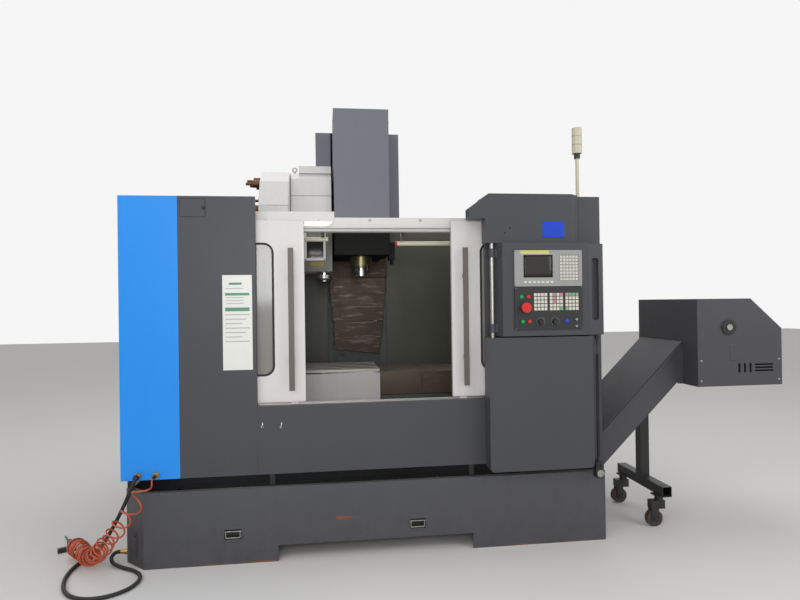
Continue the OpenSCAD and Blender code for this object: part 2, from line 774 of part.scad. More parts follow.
module arm_shaft() {
    color(steel) {
        rod_z(-arm_r, spindle_y, arm_z + arm_t + gap, shaft_top, 70);
        rod_z(-arm_r, spindle_y, arm_z - gap - 1, arm_z + arm_t + gap, 46);
        rod_z(-arm_r, spindle_y, arm_z - 11, arm_z - gap, 78);
    }
}
module change_arm() {
    grip_r = 33;
    color(steel) translate([-arm_r, spindle_y, arm_z]) difference() {
        along_z(0, arm_t) {
            circle(56);
            rect(-34, 34, -arm_r + 30, arm_r - 30);
            for (s = pair) translate([0, s * arm_r]) circle(grip_r + 18);
        }
        rod_z(0, 0, -1, arm_t + 1, 46 + 2 * running);
        for (s = pair) {
            rod_z(0, s * arm_r, -1, arm_t + 1, 2 * grip_r);
            // the mouth of the gripper faces the way that it swings in
            translate([0, s * arm_r, -1]) rotate([0, 0, s > 0 ? 180 : 0])
                block(0, 80, -grip_r + 2, grip_r - 2, 0, arm_t + 2);
        }
    }
}

// Enclosure panels and doors

door_y = front_y + fold + 4;
beam_y = door_y + door_t + 8;
beam_d = 70;
beam_low = 1794;
beam_top = 1872;
roof_z = 1990;
stand_out = 80;
lower_out = 100;
lower_x1 = 1244;
lower_top = box_low - 7;
track_x0 = -half_w + 160;
track_x1 = half_w - 80;
roller_d = 34;
roller_z = beam_low + 36;
rail_top = roller_z - roller_d / 2 - gap;
pivot_d = 24;
pivot_x = box_x - 18;
pivot_y = front_y - 60;
hose_ports = [-half_w + 88, -half_w + 180];
port_z = 488;
foot_w = 28;

module corner_panel() {
    color(blue) tray(-half_w, -half_w + corner_w, panel_low, panel_top, front_y, fold);
    // couplings of the two hoses, through the panel
    color(steel) for (x = hose_ports) {
        rod_y(x, front_y - 12, front_y + 14, port_z, 34);
        rod_y(x, front_y - 34, front_y, port_z, 22);
    }
}
module left_panel() {
    x0 = -half_w + corner_w;
    x1 = -opening_l;
    color(grey) difference() {
        tray(x0, x1, panel_low, panel_top, front_y, fold);
        along_y(front_y - 1, front_y + 1) round_rect(-1024, -890, 1862, 1962, 8);
    }
    // small access hatch with its latch
    color(grey) along_y(front_y - 2, front_y + 1) round_rect(-1022, -892, 1864, 1960, 7);
    color(dark) rod_y(-900, front_y - 12, front_y - 2, 1912, 16);
    // sheet stiffener behind the panel
    color(grey) block((x0 + x1) / 2 - 20, (x0 + x1) / 2 + 20, front_y + sheet, front_y + fold - 4,
        panel_low + sheet, panel_top - sheet);
}
module sill_panel() {
    color(grey) {
        difference() {
            block(-opening_l, opening_r, front_y, beam_y + 20, panel_low, sill_top);
            block(-opening_l + sheet, opening_r - sheet, front_y + sheet, beam_y + 21, panel_low + sheet,
                sill_top - sheet);
        }
        // feet on the rim of the tank
        both_sides() block(540, 540 + foot_w, front_y, tank_y + 34, tank_h + 4, panel_low);
    }
    // track that the doors run on, across the whole door travel
    color(steel) {
        block(track_x0, track_x1, door_y + 8, door_y + 12, sill_top, sill_top + 10);
        block(track_x0, -opening_l, door_y + 4, door_y + 16, sill_top - 20, sill_top);
        block(opening_r, track_x1, door_y + 4, door_y + 16, sill_top - 20, sill_top);
    }
}
cap_x0 = 632;
cap_x1 = half_w - 150;
cap_low = box_top + gap;
module cap_form(t) {
    intersection() {
        along_y(front_y - stand_out + t, front_y) polygon([[540 + t, 1850 + t], [540 + t, 1907 - t],
            [653 + t, roof_z - t], [cap_x1 - t, roof_z - t], [cap_x1 - t, cap_low + t],
            [cap_x0 + t, cap_low + t], [cap_x0 + t, 1850 + t]]);
        along_z(cap_low - 1, roof_z + 1) polygon([[500, front_y + 1], [500, front_y - stand_out],
            [cap_x1 - 53 - t, front_y - stand_out], [cap_x1 - t, front_y - 35], [cap_x1 - t, front_y + 1]]);
    }
}
module right_pillar() {
    color(grey) {
        // strip behind the station, from bottom to top
        tray(opening_r, half_w, panel_low, panel_top, front_y, fold);
        // lower panel that stands forward, with round lower corners
        difference() {
            along_y(front_y - lower_out, front_y) {
                round_rect(opening_r - 10, lower_x1, 440, lower_top, 22);
                rect(opening_r - 10, lower_x1, 1100, lower_top);
            }
            along_y(front_y - lower_out + sheet, front_y + 1)
                rect(opening_r - 7, lower_x1 - sheet, 470, lower_top - sheet);
        }
        // cap with its bevelled left corner, and the roof behind it
        difference() {
            cap_form(0);
            cap_form(sheet);
            for (p = [[744, 1769], [774, 1797]])
                rod_y(p[0], front_y - stand_out - 1, front_y - stand_out + sheet + 1, p[1], 8);
        }
        difference() {
            block(cap_x0 + 21, half_w, front_y, beam_y + beam_d + 22, panel_top, roof_z);
            block(cap_x0 + 21 + sheet, half_w - sheet, front_y + sheet, beam_y + beam_d + 22 - sheet,
                panel_top - 1, roof_z - sheet);
        }
        block(540, opening_r, front_y, front_y + sheet, 1850, 1907);
    }
    // blank blue plate on the cap
    color(blue) block(962, 1089, front_y - stand_out - 2, front_y - stand_out, 1744, 1834);
    // pin that the station swings on
    color(steel) rod_z(pivot_x, pivot_y, lower_top, cap_low, pivot_d);
}
module door_beam() {
    y0 = beam_y;
    y1 = y0 + beam_d;
    color(white) {
        difference() {
            block(-half_w + sheet, half_w - sheet, y0, y1, beam_low, beam_top);
            block(-half_w + sheet - 1, half_w, y0 + sheet, y1 + 1, beam_low + sheet, beam_top - sheet);
        }
        // taller shield before the changer, cut off askew
        along_y(y0 - 3, y0) polygon([[-640, beam_low + 26], [-230, beam_low + 26], [-200, beam_low + 60],
            [-200, 1905], [-640, 1905]]);
    }
    // running rail of the doors
    color(steel) {
        block(track_x0, track_x1, door_y + 17, y0, rail_top - 4, rail_top);
        block(track_x0, -640, y0 - 2, y0, rail_top, rail_top + 8);
    }
    // tubes of the work lamps with their clips
    for (l = [[-500, -235, beam_low - 35], [167, 600, beam_low - 60]]) {
        color("white") rod_x(l[0], l[1], y1 + 27, l[2], 26);
        color("red") rod_x(l[0] - 12, l[0], y1 + 27, l[2], 26);
        color(dark) for (x = [l[0] + 20, l[1] - 40]) block(x, x + 20, y1 - sheet, y1 + 30, l[2] + 12,
            beam_low + sheet);
    }
}
module door_leaf(x0, x1, inner) {
    // inner is the edge that meets the other leaf; the window lies window_in from it
    dir = inner > (x0 + x1) / 2 ? -1 : 1;
    wx0 = min(inner + dir * window_in, inner + dir * (window_in + window_w));
    wx1 = wx0 + window_w;
    wz0 = sill_top + 163;
    wz1 = wz0 + window_h;
    hx = inner + dir * 72;
    hz = 915;
    color(white) difference() {
        block(x0, x1, door_y, door_y + door_t, sill_top + 13, door_top);
        block(x0 + sheet, x1 - sheet, door_y + sheet, door_y + door_t + 1, sill_top + 16, door_top - sheet);
        along_y(door_y - 1, door_y + sheet + 1) round_rect(wx0, wx1, wz0, wz1, window_r);
        // notches that the running rail passes through
        block(x0 - 1, x1 + 1, door_y + 13, door_y + door_t + 1, rail_top - 8, rail_top + 2);
    }
    // laminated window behind the cut-out
    color([0.4, 0.42, 0.42, 0.5]) along_y(door_y + sheet, door_y + sheet + 6)
        rect(wx0 - 18, wx1 + 18, wz0 - 18, wz1 + 18);
    // flat handle bar on two brackets
    color(steel) {
        along_y(door_y - 44, door_y - 38) rect(hx - handle_w / 2, hx + handle_w / 2, hz, hz + handle_l);
        for (z = [hz + 150, hz + handle_l - 170]) block(hx - 9, hx + 9, door_y - 38, door_y, z, z + 22);
    }
    color(dark) for (x = [x0 + 60, x1 - 60]) {
        // rollers on the beam's rail
        rod_y(x, door_y + door_t - 12, door_y + door_t - 2, roller_z, roller_d);
        rod_y(x, door_y + sheet, door_y + door_t - 12, roller_z, 10);
        // guide shoe on the track below
        difference() {
            block(x - 20, x + 20, door_y + sheet, door_y + 20, sill_top + gap, sill_top + 13);
            block(x - 21, x + 21, door_y + 8 - gap, door_y + 12 + gap, sill_top, sill_top + 10 + gap);
        }
    }
}
module left_door() {
    door_leaf(-left_open - door_w, -left_open, -left_open);
}
module right_door() {
    door_leaf(right_open, right_open + door_w, right_open);
}
module enclosure_walls() {
    wall_y = front_y + fold;
    inner_back = column_y - 5;
    inner_y0 = beam_y + beam_d + 40;
    inner_z = [600, 1960];
    side_x = inner_x - sheet - gap;
    back_y = inner_back - sheet - gap;
    strip_x = half_w - sheet - gap;
    strip_y = rear_y - sheet - gap;
    strip_z = panel_low + 30;
    color(grey) difference() {
        // outer walls, their strips, and rear returns cut round the column foot
        both_sides() {
            block(half_w - sheet, half_w, wall_y, rear_y, panel_low, panel_top);
            block(half_w - 40, strip_x, wall_y, strip_y, panel_top - 30, panel_top - 27);
            block(half_w - 90, strip_x, wall_y, strip_y, strip_z, strip_z + sheet);
            difference() {
                block(column_w / 2 + 60, strip_x, rear_y - sheet, rear_y, 620, panel_top);
                block(0, bed_w / 2 - 5, strip_y, rear_y + 1, 619, bed_top + 320);
            }
        }
        // the right wall is open where the conveyor leaves
        block(half_w - 91, half_w + 1, run_y0 - 12, run_y1 + 12, panel_low - 1, 640);
    }
    color(olive) {
        // inner splash walls beside and behind the work space
        both_sides() block(inner_x - sheet, inner_x, inner_y0, inner_back, inner_z[0], inner_z[1]);
        difference() {
            both_sides() block(z_cover_half + 7, side_x, inner_back - sheet, inner_back, inner_z[0],
                inner_z[1]);
            block(bracket_x0 - 3, bracket_x1 + 3, back_y, inner_back + 1, bracket_low - 3,
                bracket_low + 203);
        }
        // lugs on the face of the column
        both_sides() for (z = [1120, 1850]) block(z_cover_half + 9, column_w / 2, inner_back + gap,
            column_y, z, z + 40);
        // stays between the inner and outer walls
        both_sides() for (y = [-300, 500]) block(inner_x + gap, strip_x, y, y + 40, 1900, 1900 + sheet);
        // chip chutes on both sides of the bed
        both_sides() along_x(bed_w / 2 + 50, side_x) polygon([[back_y, 615], [back_y, 611], [-60, 450],
            [-60, 454]]);
    }
    // feet that carry the enclosure on the tank rim
    color(dark) {
        for (y = [front_y + 100, -140]) block(-strip_x, foot_w - strip_x, y, y + 40, tank_h + 4,
            strip_z - gap);
        block(strip_x - foot_w, strip_x, front_y + 40, front_y + 80, tank_h + 4, strip_z - gap);
    }
}

// Operator station

box_front = front_y - box_out;
box_x1 = box_x + box_w;
wing_x1 = 1316;
face_t = 8;
unit_x = 784;
unit_w = 392;
unit_z = 1468;
unit_h = 202;
desk_z = 1227;
desk_h = 238;
button_y = box_front - face_t;
stop_x = unit_x + 58;
stop_z = desk_z + 124;
stop_d = 56;
push_x = [unit_x + 42, unit_x + 81];
push_z = desk_z + 47;
push_d = 20;
knob_x = [unit_x + 147, unit_x + 231];
knob_z = desk_z + 44;
knob_d = 30;
stem_d = 24;
cord_x = 1273;
cord_y = front_y - 85;
gland_l = 26;
module control_box() {
    knuckle_h = 50;
    color(grey) {
        difference() {
            along_z(box_low, box_top) polygon([[box_x, front_y - 4], [box_x, front_y - 45],
                [box_x + 28, box_front], [box_x1, box_front], [box_x1, front_y - 4]]);
            block(box_x + 31, box_x1 - sheet, box_front + sheet, front_y - 7, box_low + sheet,
                box_top - sheet);
        }
        // side wing with a recessed grip
        difference() {
            along_z(box_low, box_top - 6) polygon([[box_x1, box_front + 6], [wing_x1 - 12, box_front + 14],
                [wing_x1, box_front + 26], [wing_x1, front_y - 6], [box_x1, front_y - 6]]);
            along_y(box_front, box_front + 40) round_rect(1241, 1283, 1275, 1625, 12);
        }
        // knuckles round the pin of the pillar
        for (z = [box_low + 20, box_top - 80]) difference() {
            union() {
                rod_z(pivot_x, pivot_y, z, z + knuckle_h, pivot_d + 10);
                block(pivot_x, box_x + 16, pivot_y - 8, pivot_y + 8, z, z + knuckle_h);
            }
            rod_z(pivot_x, pivot_y, z - 1, z + knuckle_h + 1, pivot_d + 2 * running);
        }
    }
    // cable gland under the wing
    color(dark) rod_z(cord_x, cord_y, box_low - gland_l, box_low, 22);
}
module control_face() {
    y1 = box_front;
    y0 = button_y;
    color([0.75, 0.75, 0.73]) difference() {
        along_y(y0, y1) round_rect(unit_x, unit_x + unit_w, unit_z, unit_z + unit_h, 6);
        along_y(y0 - 1, y0 + 4) round_rect(unit_x + 52, unit_x + 222, unit_z + 49, unit_z + 175, 5);
        along_y(y0 - 1, y0 + 3) rect(unit_x + 259, unit_x + 373, unit_z + 28, unit_z + 175);
    }
    color([0.2, 0.2, 0.22]) difference() {
        along_y(y0, y1) round_rect(unit_x, unit_x + unit_w, desk_z, desk_z + desk_h, 6);
        rod_y(stop_x, y0 - 1, y1 + 1, stop_z, stem_d + 2 * running);
        for (x = push_x) rod_y(x, y0 - 1, y1 + 1, push_z, push_d + 2 * running);
        for (x = knob_x) rod_y(x, y0 - 1, y1 + 1, knob_z, stem_d / 2 + 2 * running);
    }
    // soft keys under the screen and the keypad's caps
    color([0.75, 0.75, 0.72]) {
        for (i = [0:6]) translate([unit_x + 53 + i * 25.5, y0 - 1.5, unit_z + 18]) cube([17, 1.5, 12]);
        for (i = [0:5], k = [0:7]) translate([unit_x + 264 + i * 18, 0, unit_z + 32 + k * 18])
            block(0, 13, y0 + 1, y0 + 3, 0, 13);
    }
    // three fields of membrane keys on the lower panel
    for (g = [0:2], i = [0:3], k = [0:4]) color(g == 0 && k > 2 ? [0.8, 0.25, 0.2] : [0.86, 0.86, 0.82])
        translate([unit_x + 110 + g * 91 + i * 20, y0 - 1, desk_z + 107 + k * 20]) cube([16, 1, 16]);
    // lamps and small switches
    color("green") rod_y(unit_x + 38, y0 - 5, y0, desk_z + 184, 20);
    color("red") rod_y(unit_x + 78, y0 - 5, y0, desk_z + 184, 20);
    color([0.1, 0.3, 0.8]) rod_y(unit_x + 298, y0 - 6, y0, desk_z + 48, 24);
    color(steel) for (z = [desk_z + 17, desk_z + 54]) rod_y(unit_x + 354, y0 - 9, y0, z, 13);
}
module emergency_stop() {
    color("red") {
        rod_y(stop_x, button_y - 30, button_y - 14, stop_z, stop_d);
        rod_y(stop_x, button_y - 14, button_y + face_t - press - 1, stop_z, stem_d);
    }
}
module push_button(x, paint) {
    color(paint) rod_y(x, button_y - 8, button_y + face_t - press - 1, push_z, push_d);
}
module start_button() {
    push_button(push_x[0], "green");
}
module stop_button() {
    push_button(push_x[1], "red");
}
module knob(x) {
    color(dark) difference() {
        union() {
            rod_y(x, button_y - 20, button_y - gap, knob_z, knob_d);
            rod_y(x, button_y - gap, button_y + face_t - 1, knob_z, stem_d / 2);
        }
        block(x - 2, x + 2, button_y - 21, button_y - 18, knob_z + 2, knob_z + knob_d / 2 + 1);
    }
}
module mode_knob() {
    knob(knob_x[0]);
}
module feed_knob() {
    knob(knob_x[1]);
}
// Handwheel pendant that hangs from its curly cord
curl_d = 18;
curl_top = 1082;
pendant_top = 470;
pendant_h = 90;
pendant_w = 46;
relief_l = 24;
wheel_z = pendant_top - 62;
module pendant_cord() {
    color(dark) {
        rod_z(cord_x, cord_y, curl_top, box_low - gland_l, curl_d / 2);
        rod_z(cord_x, cord_y, pendant_top + relief_l, curl_top, curl_d);
    }
}
module pendant() {
    y0 = cord_y - 18;
    r = pendant_w / 2;
    color(dark) {
        difference() {
            along_y(y0, cord_y + 18)
                round_rect(cord_x - r, cord_x + r, pendant_top - pendant_h, pendant_top, 8);
            rod_y(cord_x, y0 - 1, cord_y, wheel_z, stem_d / 2 + 2 * running);
        }
        rod_z(cord_x, cord_y, pendant_top, pendant_top + relief_l, 14);
        for (s = pair) rod_y(cord_x + s * 11, y0 - 9, y0, pendant_top - 16, 14);
    }
}
module pendant_wheel() {
    y0 = cord_y - 18;
    color(steel) {
        rod_y(cord_x, y0 - 10, y0 - gap, wheel_z, 40);
        rod_y(cord_x, y0 - gap, cord_y - 1, wheel_z, stem_d / 2);
        rod_y(cord_x + 13, y0 - 26, y0 - 10, wheel_z, 8);
    }
}
module signal_tower() {
    x = 1252;
    y = beam_y + 32;
    color([0.8, 0.8, 0.72]) {
        rod_z(x, y, roof_z, roof_z + 8, 60);
        rod_z(x, y, roof_z + 8, 2235, 21);
    }
    color(dark) rod_z(x, y, 2235, 2265, 36);
    color([0.8, 0.8, 0.76]) for (k = [0:2]) rod_z(x, y, 2265 + k * 52, 2314 + k * 52, 59);
    color([0.6, 0.6, 0.55]) for (k = [0:1]) rod_z(x, y, 2314 + k * 52, 2317 + k * 52, 55);
}

// Coolant tank

tank_y = front_y - tank_out;
tank_rear = bed_front - 6;
tank_wall = 4;
tank_lift = 85;
tank_gap = [-524, 554];
skirt_w = 200;
cup_w = 108;
cup_h = 76;
cup_d = 30;
pull_x = [-764, 239];
pull_z = 160;
pull_wire = 6;
pull_y = tank_y + 6;
bail_z = pull_z + 12;
spigot_y = front_y + 115;
spigot_z = 50;
module tank_outline(inset) {
    c = tank_cut + inset * 0.4;
    polygon([[-half_w + c, tank_y + inset], [half_w - inset, tank_y + inset],
        [half_w - inset, tank_rear - inset], [-half_w + inset, tank_rear - inset],
        [-half_w + inset, tank_y + c]]);
}
module coolant_tank() {
    color(grey) difference() {
        along_z(0, tank_h) tank_outline(0);
        along_z(tank_lift + tank_wall, tank_h + 1) tank_outline(tank_wall);
        // open underside, leaving solid feet at both ends
        difference() {
            along_z(-1, tank_lift) tank_outline(tank_wall);
            both_sides() block(half_w - skirt_w, half_w, tank_y, tank_rear, -1, tank_lift);
        }
        block(tank_gap[0], tank_gap[1], tank_y - 1, tank_rear + 1, -1, tank_lift);
        // notch where the conveyor rises
        block(half_w - 5, half_w + 1, run_y0 - 10, run_y1 + 10, 300, tank_h + 1);
        for (x = pull_x) along_y(tank_y - 1, tank_y + 5) rect(x - 46, x + 46, pull_z - 30, pull_z + 28);
    }
    // flanged rim
    color(grey) difference() {
        along_z(tank_h, tank_h + 4) tank_outline(0);
        along_z(tank_h - 1, tank_h + 5) tank_outline(34);
        block(bend_x + 80, half_w + 1, run_y0 - 10, run_y1 + 10, tank_h - 1, tank_h + 5);
    }
    // level gauge on the cut corner
    color(dark) translate([-half_w + tank_cut / 2, tank_y + tank_cut / 2, 0]) rotate([0, 0, -45]) {
        block(-18, 18, -8, 2, 48, 160);
        block(-8, 8, -11, 0, 60, 148);
        block(-22, 22, -12, 2, 172, 180);
    }
    // cup pulls let into the front
    color(dark) for (x = pull_x) translate([x, 0, pull_z]) difference() {
        union() {
            along_y(tank_y - 3, tank_y) round_rect(-cup_w / 2, cup_w / 2, -cup_h / 2, cup_h / 2, 6);
            along_y(tank_y, tank_y + cup_d) rect(-48, 48, -32, 30);
        }
        along_y(tank_y - 4, tank_y + cup_d - 4) round_rect(-44, 44, -28, 26, 4);
        rod_x(-46, 46, pull_y, bail_z - pull_z, pull_wire + 2 * running);
    }
    // spigot low on the left side for the return hose
    color(steel) {
        rod_x(-half_w - 20, -half_w + 2, spigot_y, spigot_z, 30);
        rod_x(-half_w - 40, -half_w, spigot_y, spigot_z, 22);
    }
}
module pull(x) {
    r = pull_wire / 2;
    color(steel) {
        rod_x(x - 45, x + 45, pull_y, bail_z, pull_wire);
        for (s = pair) block(x + s * 38 - r, x + s * 38 + r, pull_y - r, pull_y + r, bail_z - 34, bail_z);
        block(x - 38, x + 38, pull_y - r, pull_y + r, bail_z - 37, bail_z - 31);
    }
}
module left_pull() {
    pull(pull_x[0]);
}
module right_pull() {
    pull(pull_x[1]);
}

// Chip conveyor

run_y0 = -590;
run_y1 = run_y0 + channel_d;
run_low = tank_lift + 14;
run_x0 = -1180;
bend_x = 1072;
bend_z = run_low + channel_h / 2;
rise_run = 905;
top_x = bend_x + rise_run;
top_z = bend_z + tan(rise_angle) * rise_run;
wall_t = 4;
ca = cos(rise_angle);
sa = sin(rise_angle);
belt_r = 42;
belt_y0 = run_y0 + 22;
belt_y1 = run_y1 - 22;
belt_x0 = run_x0 + 74;
belt_ext = 190;
chain_w = 9;
cleat_h = 24;
shaft_x = top_x + belt_ext * ca;
shaft_z = top_z + belt_ext * sa;
drive_d = 36;
hood_x0 = 1913;
hood_x1 = hood_x0 + hood_l;
hood_z1 = 1385;
hood_z0 = hood_z1 - hood_h;
hood_y0 = -750;
hood_y1 = -90;
// a strip of half-width h along the level and the rising centreline
module bent_strip(h, x0, ext) {
    t = tan(rise_angle / 2) * h;
    ex = top_x + ext * ca;
    ez = top_z + ext * sa;
    polygon([[x0, bend_z - h], [bend_x + t, bend_z - h], [ex + h * sa, ez - h * ca],
        [ex - h * sa, ez + h * ca], [bend_x - t, bend_z + h], [x0, bend_z + h]]);
}
// children lie along the rising part, from the bend
module on_rise() {
    translate([bend_x, 0, bend_z]) rotate([0, -rise_angle, 0]) children();
}
module conveyor_channel() {
    h = channel_h / 2;
    y0 = run_y0 + wall_t + gap;
    y1 = run_y1 - wall_t - gap;
    color(grey) {
        // side plates and end plate
        for (y = [run_y0, run_y1 - wall_t]) along_y(y, y + wall_t) bent_strip(h, run_x0, 0);
        block(run_x0, run_x0 + wall_t, y0, y1, run_low, bend_z + h);
        // floor and lid, open above the level part
        difference() {
            along_y(y0, y1) difference() {
                bent_strip(h, run_x0 + wall_t + gap, 0);
                bent_strip(h - wall_t, run_x0, 60);
                translate([bend_x, bend_z]) rotate(rise_angle / 2) square([gap, 3 * h], center = true);
            }
            block(run_x0, bend_x - 60, run_y0, run_y1, bend_z, bend_z + h + 1);
        }
        // light edge rail along the rising part
        on_rise() block(330, rise_run / ca - 90, run_y0 - 8, run_y0 - gap, h - 20, h - 8);
        // feet on the tank floor
        for (x = [-1000, 0, 900], y = [run_y0 + 60, run_y1 - 100])
            block(x, x + 40, y, y + 40, tank_lift + tank_wall, run_low - gap);
    }
}
module belt_path(h) {
    bent_strip(h, belt_x0, belt_ext);
    translate([belt_x0, bend_z]) circle(h);
    translate([shaft_x, shaft_z]) circle(h);
}
module conveyor_belt() {
    pitch = 250;
    color(steel) {
        along_y(belt_y0, belt_y1) difference() {
            belt_path(belt_r);
            belt_path(belt_r - 6);
        }
        // cleats on the carrying and the returning run
        for (i = [0:7], z = [belt_r, -belt_r - cleat_h]) translate([belt_x0 + 60 + i * pitch, 0, bend_z + z])
            block(0, 6, belt_y0 + 8, belt_y1 - 8, 0, cleat_h);
        on_rise() for (i = [0:4], z = [belt_r, -belt_r - cleat_h]) translate([120 + i * pitch, 0, z])
            block(0, 6, belt_y0 + 8, belt_y1 - 8, 0, cleat_h);
        // side chains
        for (y = [belt_y0 - chain_w, belt_y1]) along_y(y, y + chain_w) difference() {
            belt_path(belt_r + 2);
            belt_path(belt_r - 14);
        }
    }
}
module conveyor_shaft() {
    color(steel) difference() {
        union() {
            rod_y(shaft_x, hood_y0 - 14, hood_y1 + 60, shaft_z, drive_d);
            for (y = [belt_y0 - chain_w, belt_y1])
                rod_y(shaft_x, y, y + chain_w, shaft_z, 2 * (belt_r - 15));
            rod_y(shaft_x, hood_y1 + 26, hood_y1 + 44, shaft_z, 90);
        }
        block(shaft_x - 4, shaft_x + 4, hood_y0 - 15, hood_y0 - 10, shaft_z + 8, shaft_z + 20);
    }
}
module conveyor_hood() {
    x1 = hood_x1;
    t = sheet;
    bevel = [200, 180];
    color(grey) {
        difference() {
            along_y(hood_y0, hood_y1) polygon([[hood_x0, hood_z0], [x1, hood_z0], [x1, hood_z1 - bevel[1]],
                [x1 - bevel[0], hood_z1], [hood_x0, hood_z1]]);
            along_y(hood_y0 + t, hood_y1 - t) polygon([[hood_x0 + t, hood_z0 + t], [x1 - t, hood_z0 + t],
                [x1 - t, hood_z1 - bevel[1] - 1], [x1 - bevel[0] - 1, hood_z1 - t],
                [hood_x0 + t, hood_z1 - t]]);
            // discharge mouth under the far half
            block(x1 - 300, x1 - 30, run_y0, run_y1, hood_z0 - 1, hood_z0 + t + 1);
            // the channel enters through the near wall
            along_y(run_y0 - gap, run_y1 + gap) bent_strip(channel_h / 2 + gap, bend_x + 300, 80);
            rod_y(shaft_x, hood_y0 - 1, hood_y1 + 1, shaft_z, drive_d + 2 * running);
            // slots in the front, three upright and three level
            for (i = [0:2]) block(x1 - 284 + i * 36, x1 - 270 + i * 36, hood_y0 - 1, hood_y0 + t + 1,
                hood_z0 + 78, hood_z0 + 132);
            for (i = [0:2]) block(x1 - 176, x1 - 56, hood_y0 - 1, hood_y0 + t + 1, hood_z0 + 82 + i * 18,
                hood_z0 + 92 + i * 18);
        }
        // blank plate above the slots
        block(x1 - 337, x1 - 228, hood_y0 - 2, hood_y0, hood_z0 + 151, hood_z0 + 246);
        // cheeks that hold the hood on the channel
        for (y = [run_y0 - gap - 4, run_y1 + gap]) block(hood_x0 - 30, hood_x0, y, y + 4, hood_z0,
            hood_z0 + 220);
    }
    // bearing plates and the geared motor at the rear
    color(dark) {
        difference() {
            union() {
                rod_y(shaft_x, hood_y0 - 8, hood_y0, shaft_z, 90);
                rod_y(shaft_x, hood_y1, hood_y1 + 8, shaft_z, 90);
                block(shaft_x - 70, shaft_x + 70, hood_y1, hood_y1 + 24, shaft_z - 250, shaft_z - 80);
            }
            rod_y(shaft_x, hood_y0 - 9, hood_y1 + 25, shaft_z, drive_d + 2 * running);
        }
        rod_x(shaft_x - 140, shaft_x + 110, hood_y1 + 80, shaft_z - 165, 112);
    }
}
leg_x = 1780;
leg_y = (run_y0 + run_y1) / 2;
leg_r = 30;
leg_t = 4;
cross_z = 220;
axle_z = wheel_d / 2;
axle_d = 12;
caster_x = leg_x - 55;
caster_y = [run_y0 + 20, run_y1 - 20];
tread_r = 17;
module conveyor_stand() {
    under_z = bend_z + (leg_x - bend_x) * tan(rise_angle) - channel_h / 2 / ca;
    r = leg_r - leg_t;
    color(dark) {
        // post cut to the slope of the channel
        difference() {
            block(leg_x - leg_r, leg_x + leg_r, leg_y - leg_r, leg_y + leg_r, cross_z + leg_r, under_z + 60);
            along_y(leg_y - 40, leg_y + 40) bent_strip(channel_h / 2, bend_x + 200, 0);
            block(leg_x - r, leg_x + r, leg_y - r, leg_y + r, cross_z + leg_r + leg_t, under_z - 60);
        }
        difference() {
            block(leg_x - leg_r, leg_x + leg_r, run_y0 - 40, run_y1 + 40, cross_z - leg_r, cross_z + leg_r);
            block(leg_x - r, leg_x + r, run_y0 - 41, run_y1 + 41, cross_z - r, cross_z + r);
        }
        for (y = caster_y) {
            // head plate, swivel and fork of a caster
            block(leg_x - 50, leg_x + 40, y - 42, y + 42, cross_z - leg_r - 8, cross_z - leg_r);
            rod_z(leg_x - 20, y, cross_z - 62, cross_z - leg_r - 8, 50);
            block(caster_x - 26, leg_x + 8, y - tread_r - 7, y + tread_r + 7, wheel_d + 8, cross_z - 62);
            for (s = pair) translate([0, y + s * (tread_r + 4.5), 0]) difference() {
                block(caster_x - 22, caster_x + 22, -2.5, 2.5, axle_z - 16, wheel_d + 8);
                rod_y(caster_x, -3, 3, axle_z, axle_d + 2 * running);
            }
        }
    }
}
module conveyor_wheels() {
    color(dark) for (y = caster_y) {
        rod_y(caster_x, y - tread_r, y + tread_r, axle_z, wheel_d);
        rod_y(caster_x, y - tread_r - 14, y + tread_r + 14, axle_z, axle_d);
    }
}

// Electrical cabinet at the rear

case_w = 1300;
case_d = 330;
case_low = 420;
case_top = 1960;
case_x = case_w / 2;
case_y = column_y + column_d + 20;
case_y1 = case_y + case_d;
hinge_d = 16;
hinge_pin = 8;
hinge_x = -case_x - 2;
hinge_y = case_y1 + 16;
hinge_z = [case_low + 10, case_low + 760, case_top - 90];
module rear_cabinet() {
    x = case_x;
    inner_y = case_y + sheet;
    color(grey) {
        // back panel, bottom, top and sides of the case
        block(-x, x, case_y, inner_y, case_low, case_top);
        for (z = [case_low, case_top - sheet]) block(-x, x, inner_y + gap, case_y1, z, z + sheet);
        both_sides() block(x - sheet, x, inner_y + gap, case_y1, case_low + sheet + gap,
            case_top - sheet - gap);
        // mounting rails on the column, and hinge plates
        for (z = [900, 1700]) block(-column_w / 2, column_w / 2, case_y - 20, case_y - gap, z, z + 60);
        for (z = hinge_z) block(-x - 10, -x - gap, case_y1 - 14, case_y1 + 12, z, z + 38);
    }
    // back plate with its drive units and relays
    color("silver") block(-x + 40, x - 40, inner_y + gap, inner_y + 4, case_low + 40, case_top - 60);
    color(dark) for (i = [0:4]) translate([-x + 90 + i * 170, inner_y + 4 + gap, 1250])
        cube([130, 193, 370]);
    color([0.8, 0.8, 0.78]) for (i = [0:7]) translate([-x + 90 + i * 120, inner_y + 4 + gap, 900])
        cube([90, 103, 100]);
    color(steel) for (z = hinge_z) {
        rod_z(hinge_x, hinge_y, z, z + 38, hinge_d);
        rod_z(hinge_x, hinge_y, z + 38, z + 78, hinge_pin);
    }
}
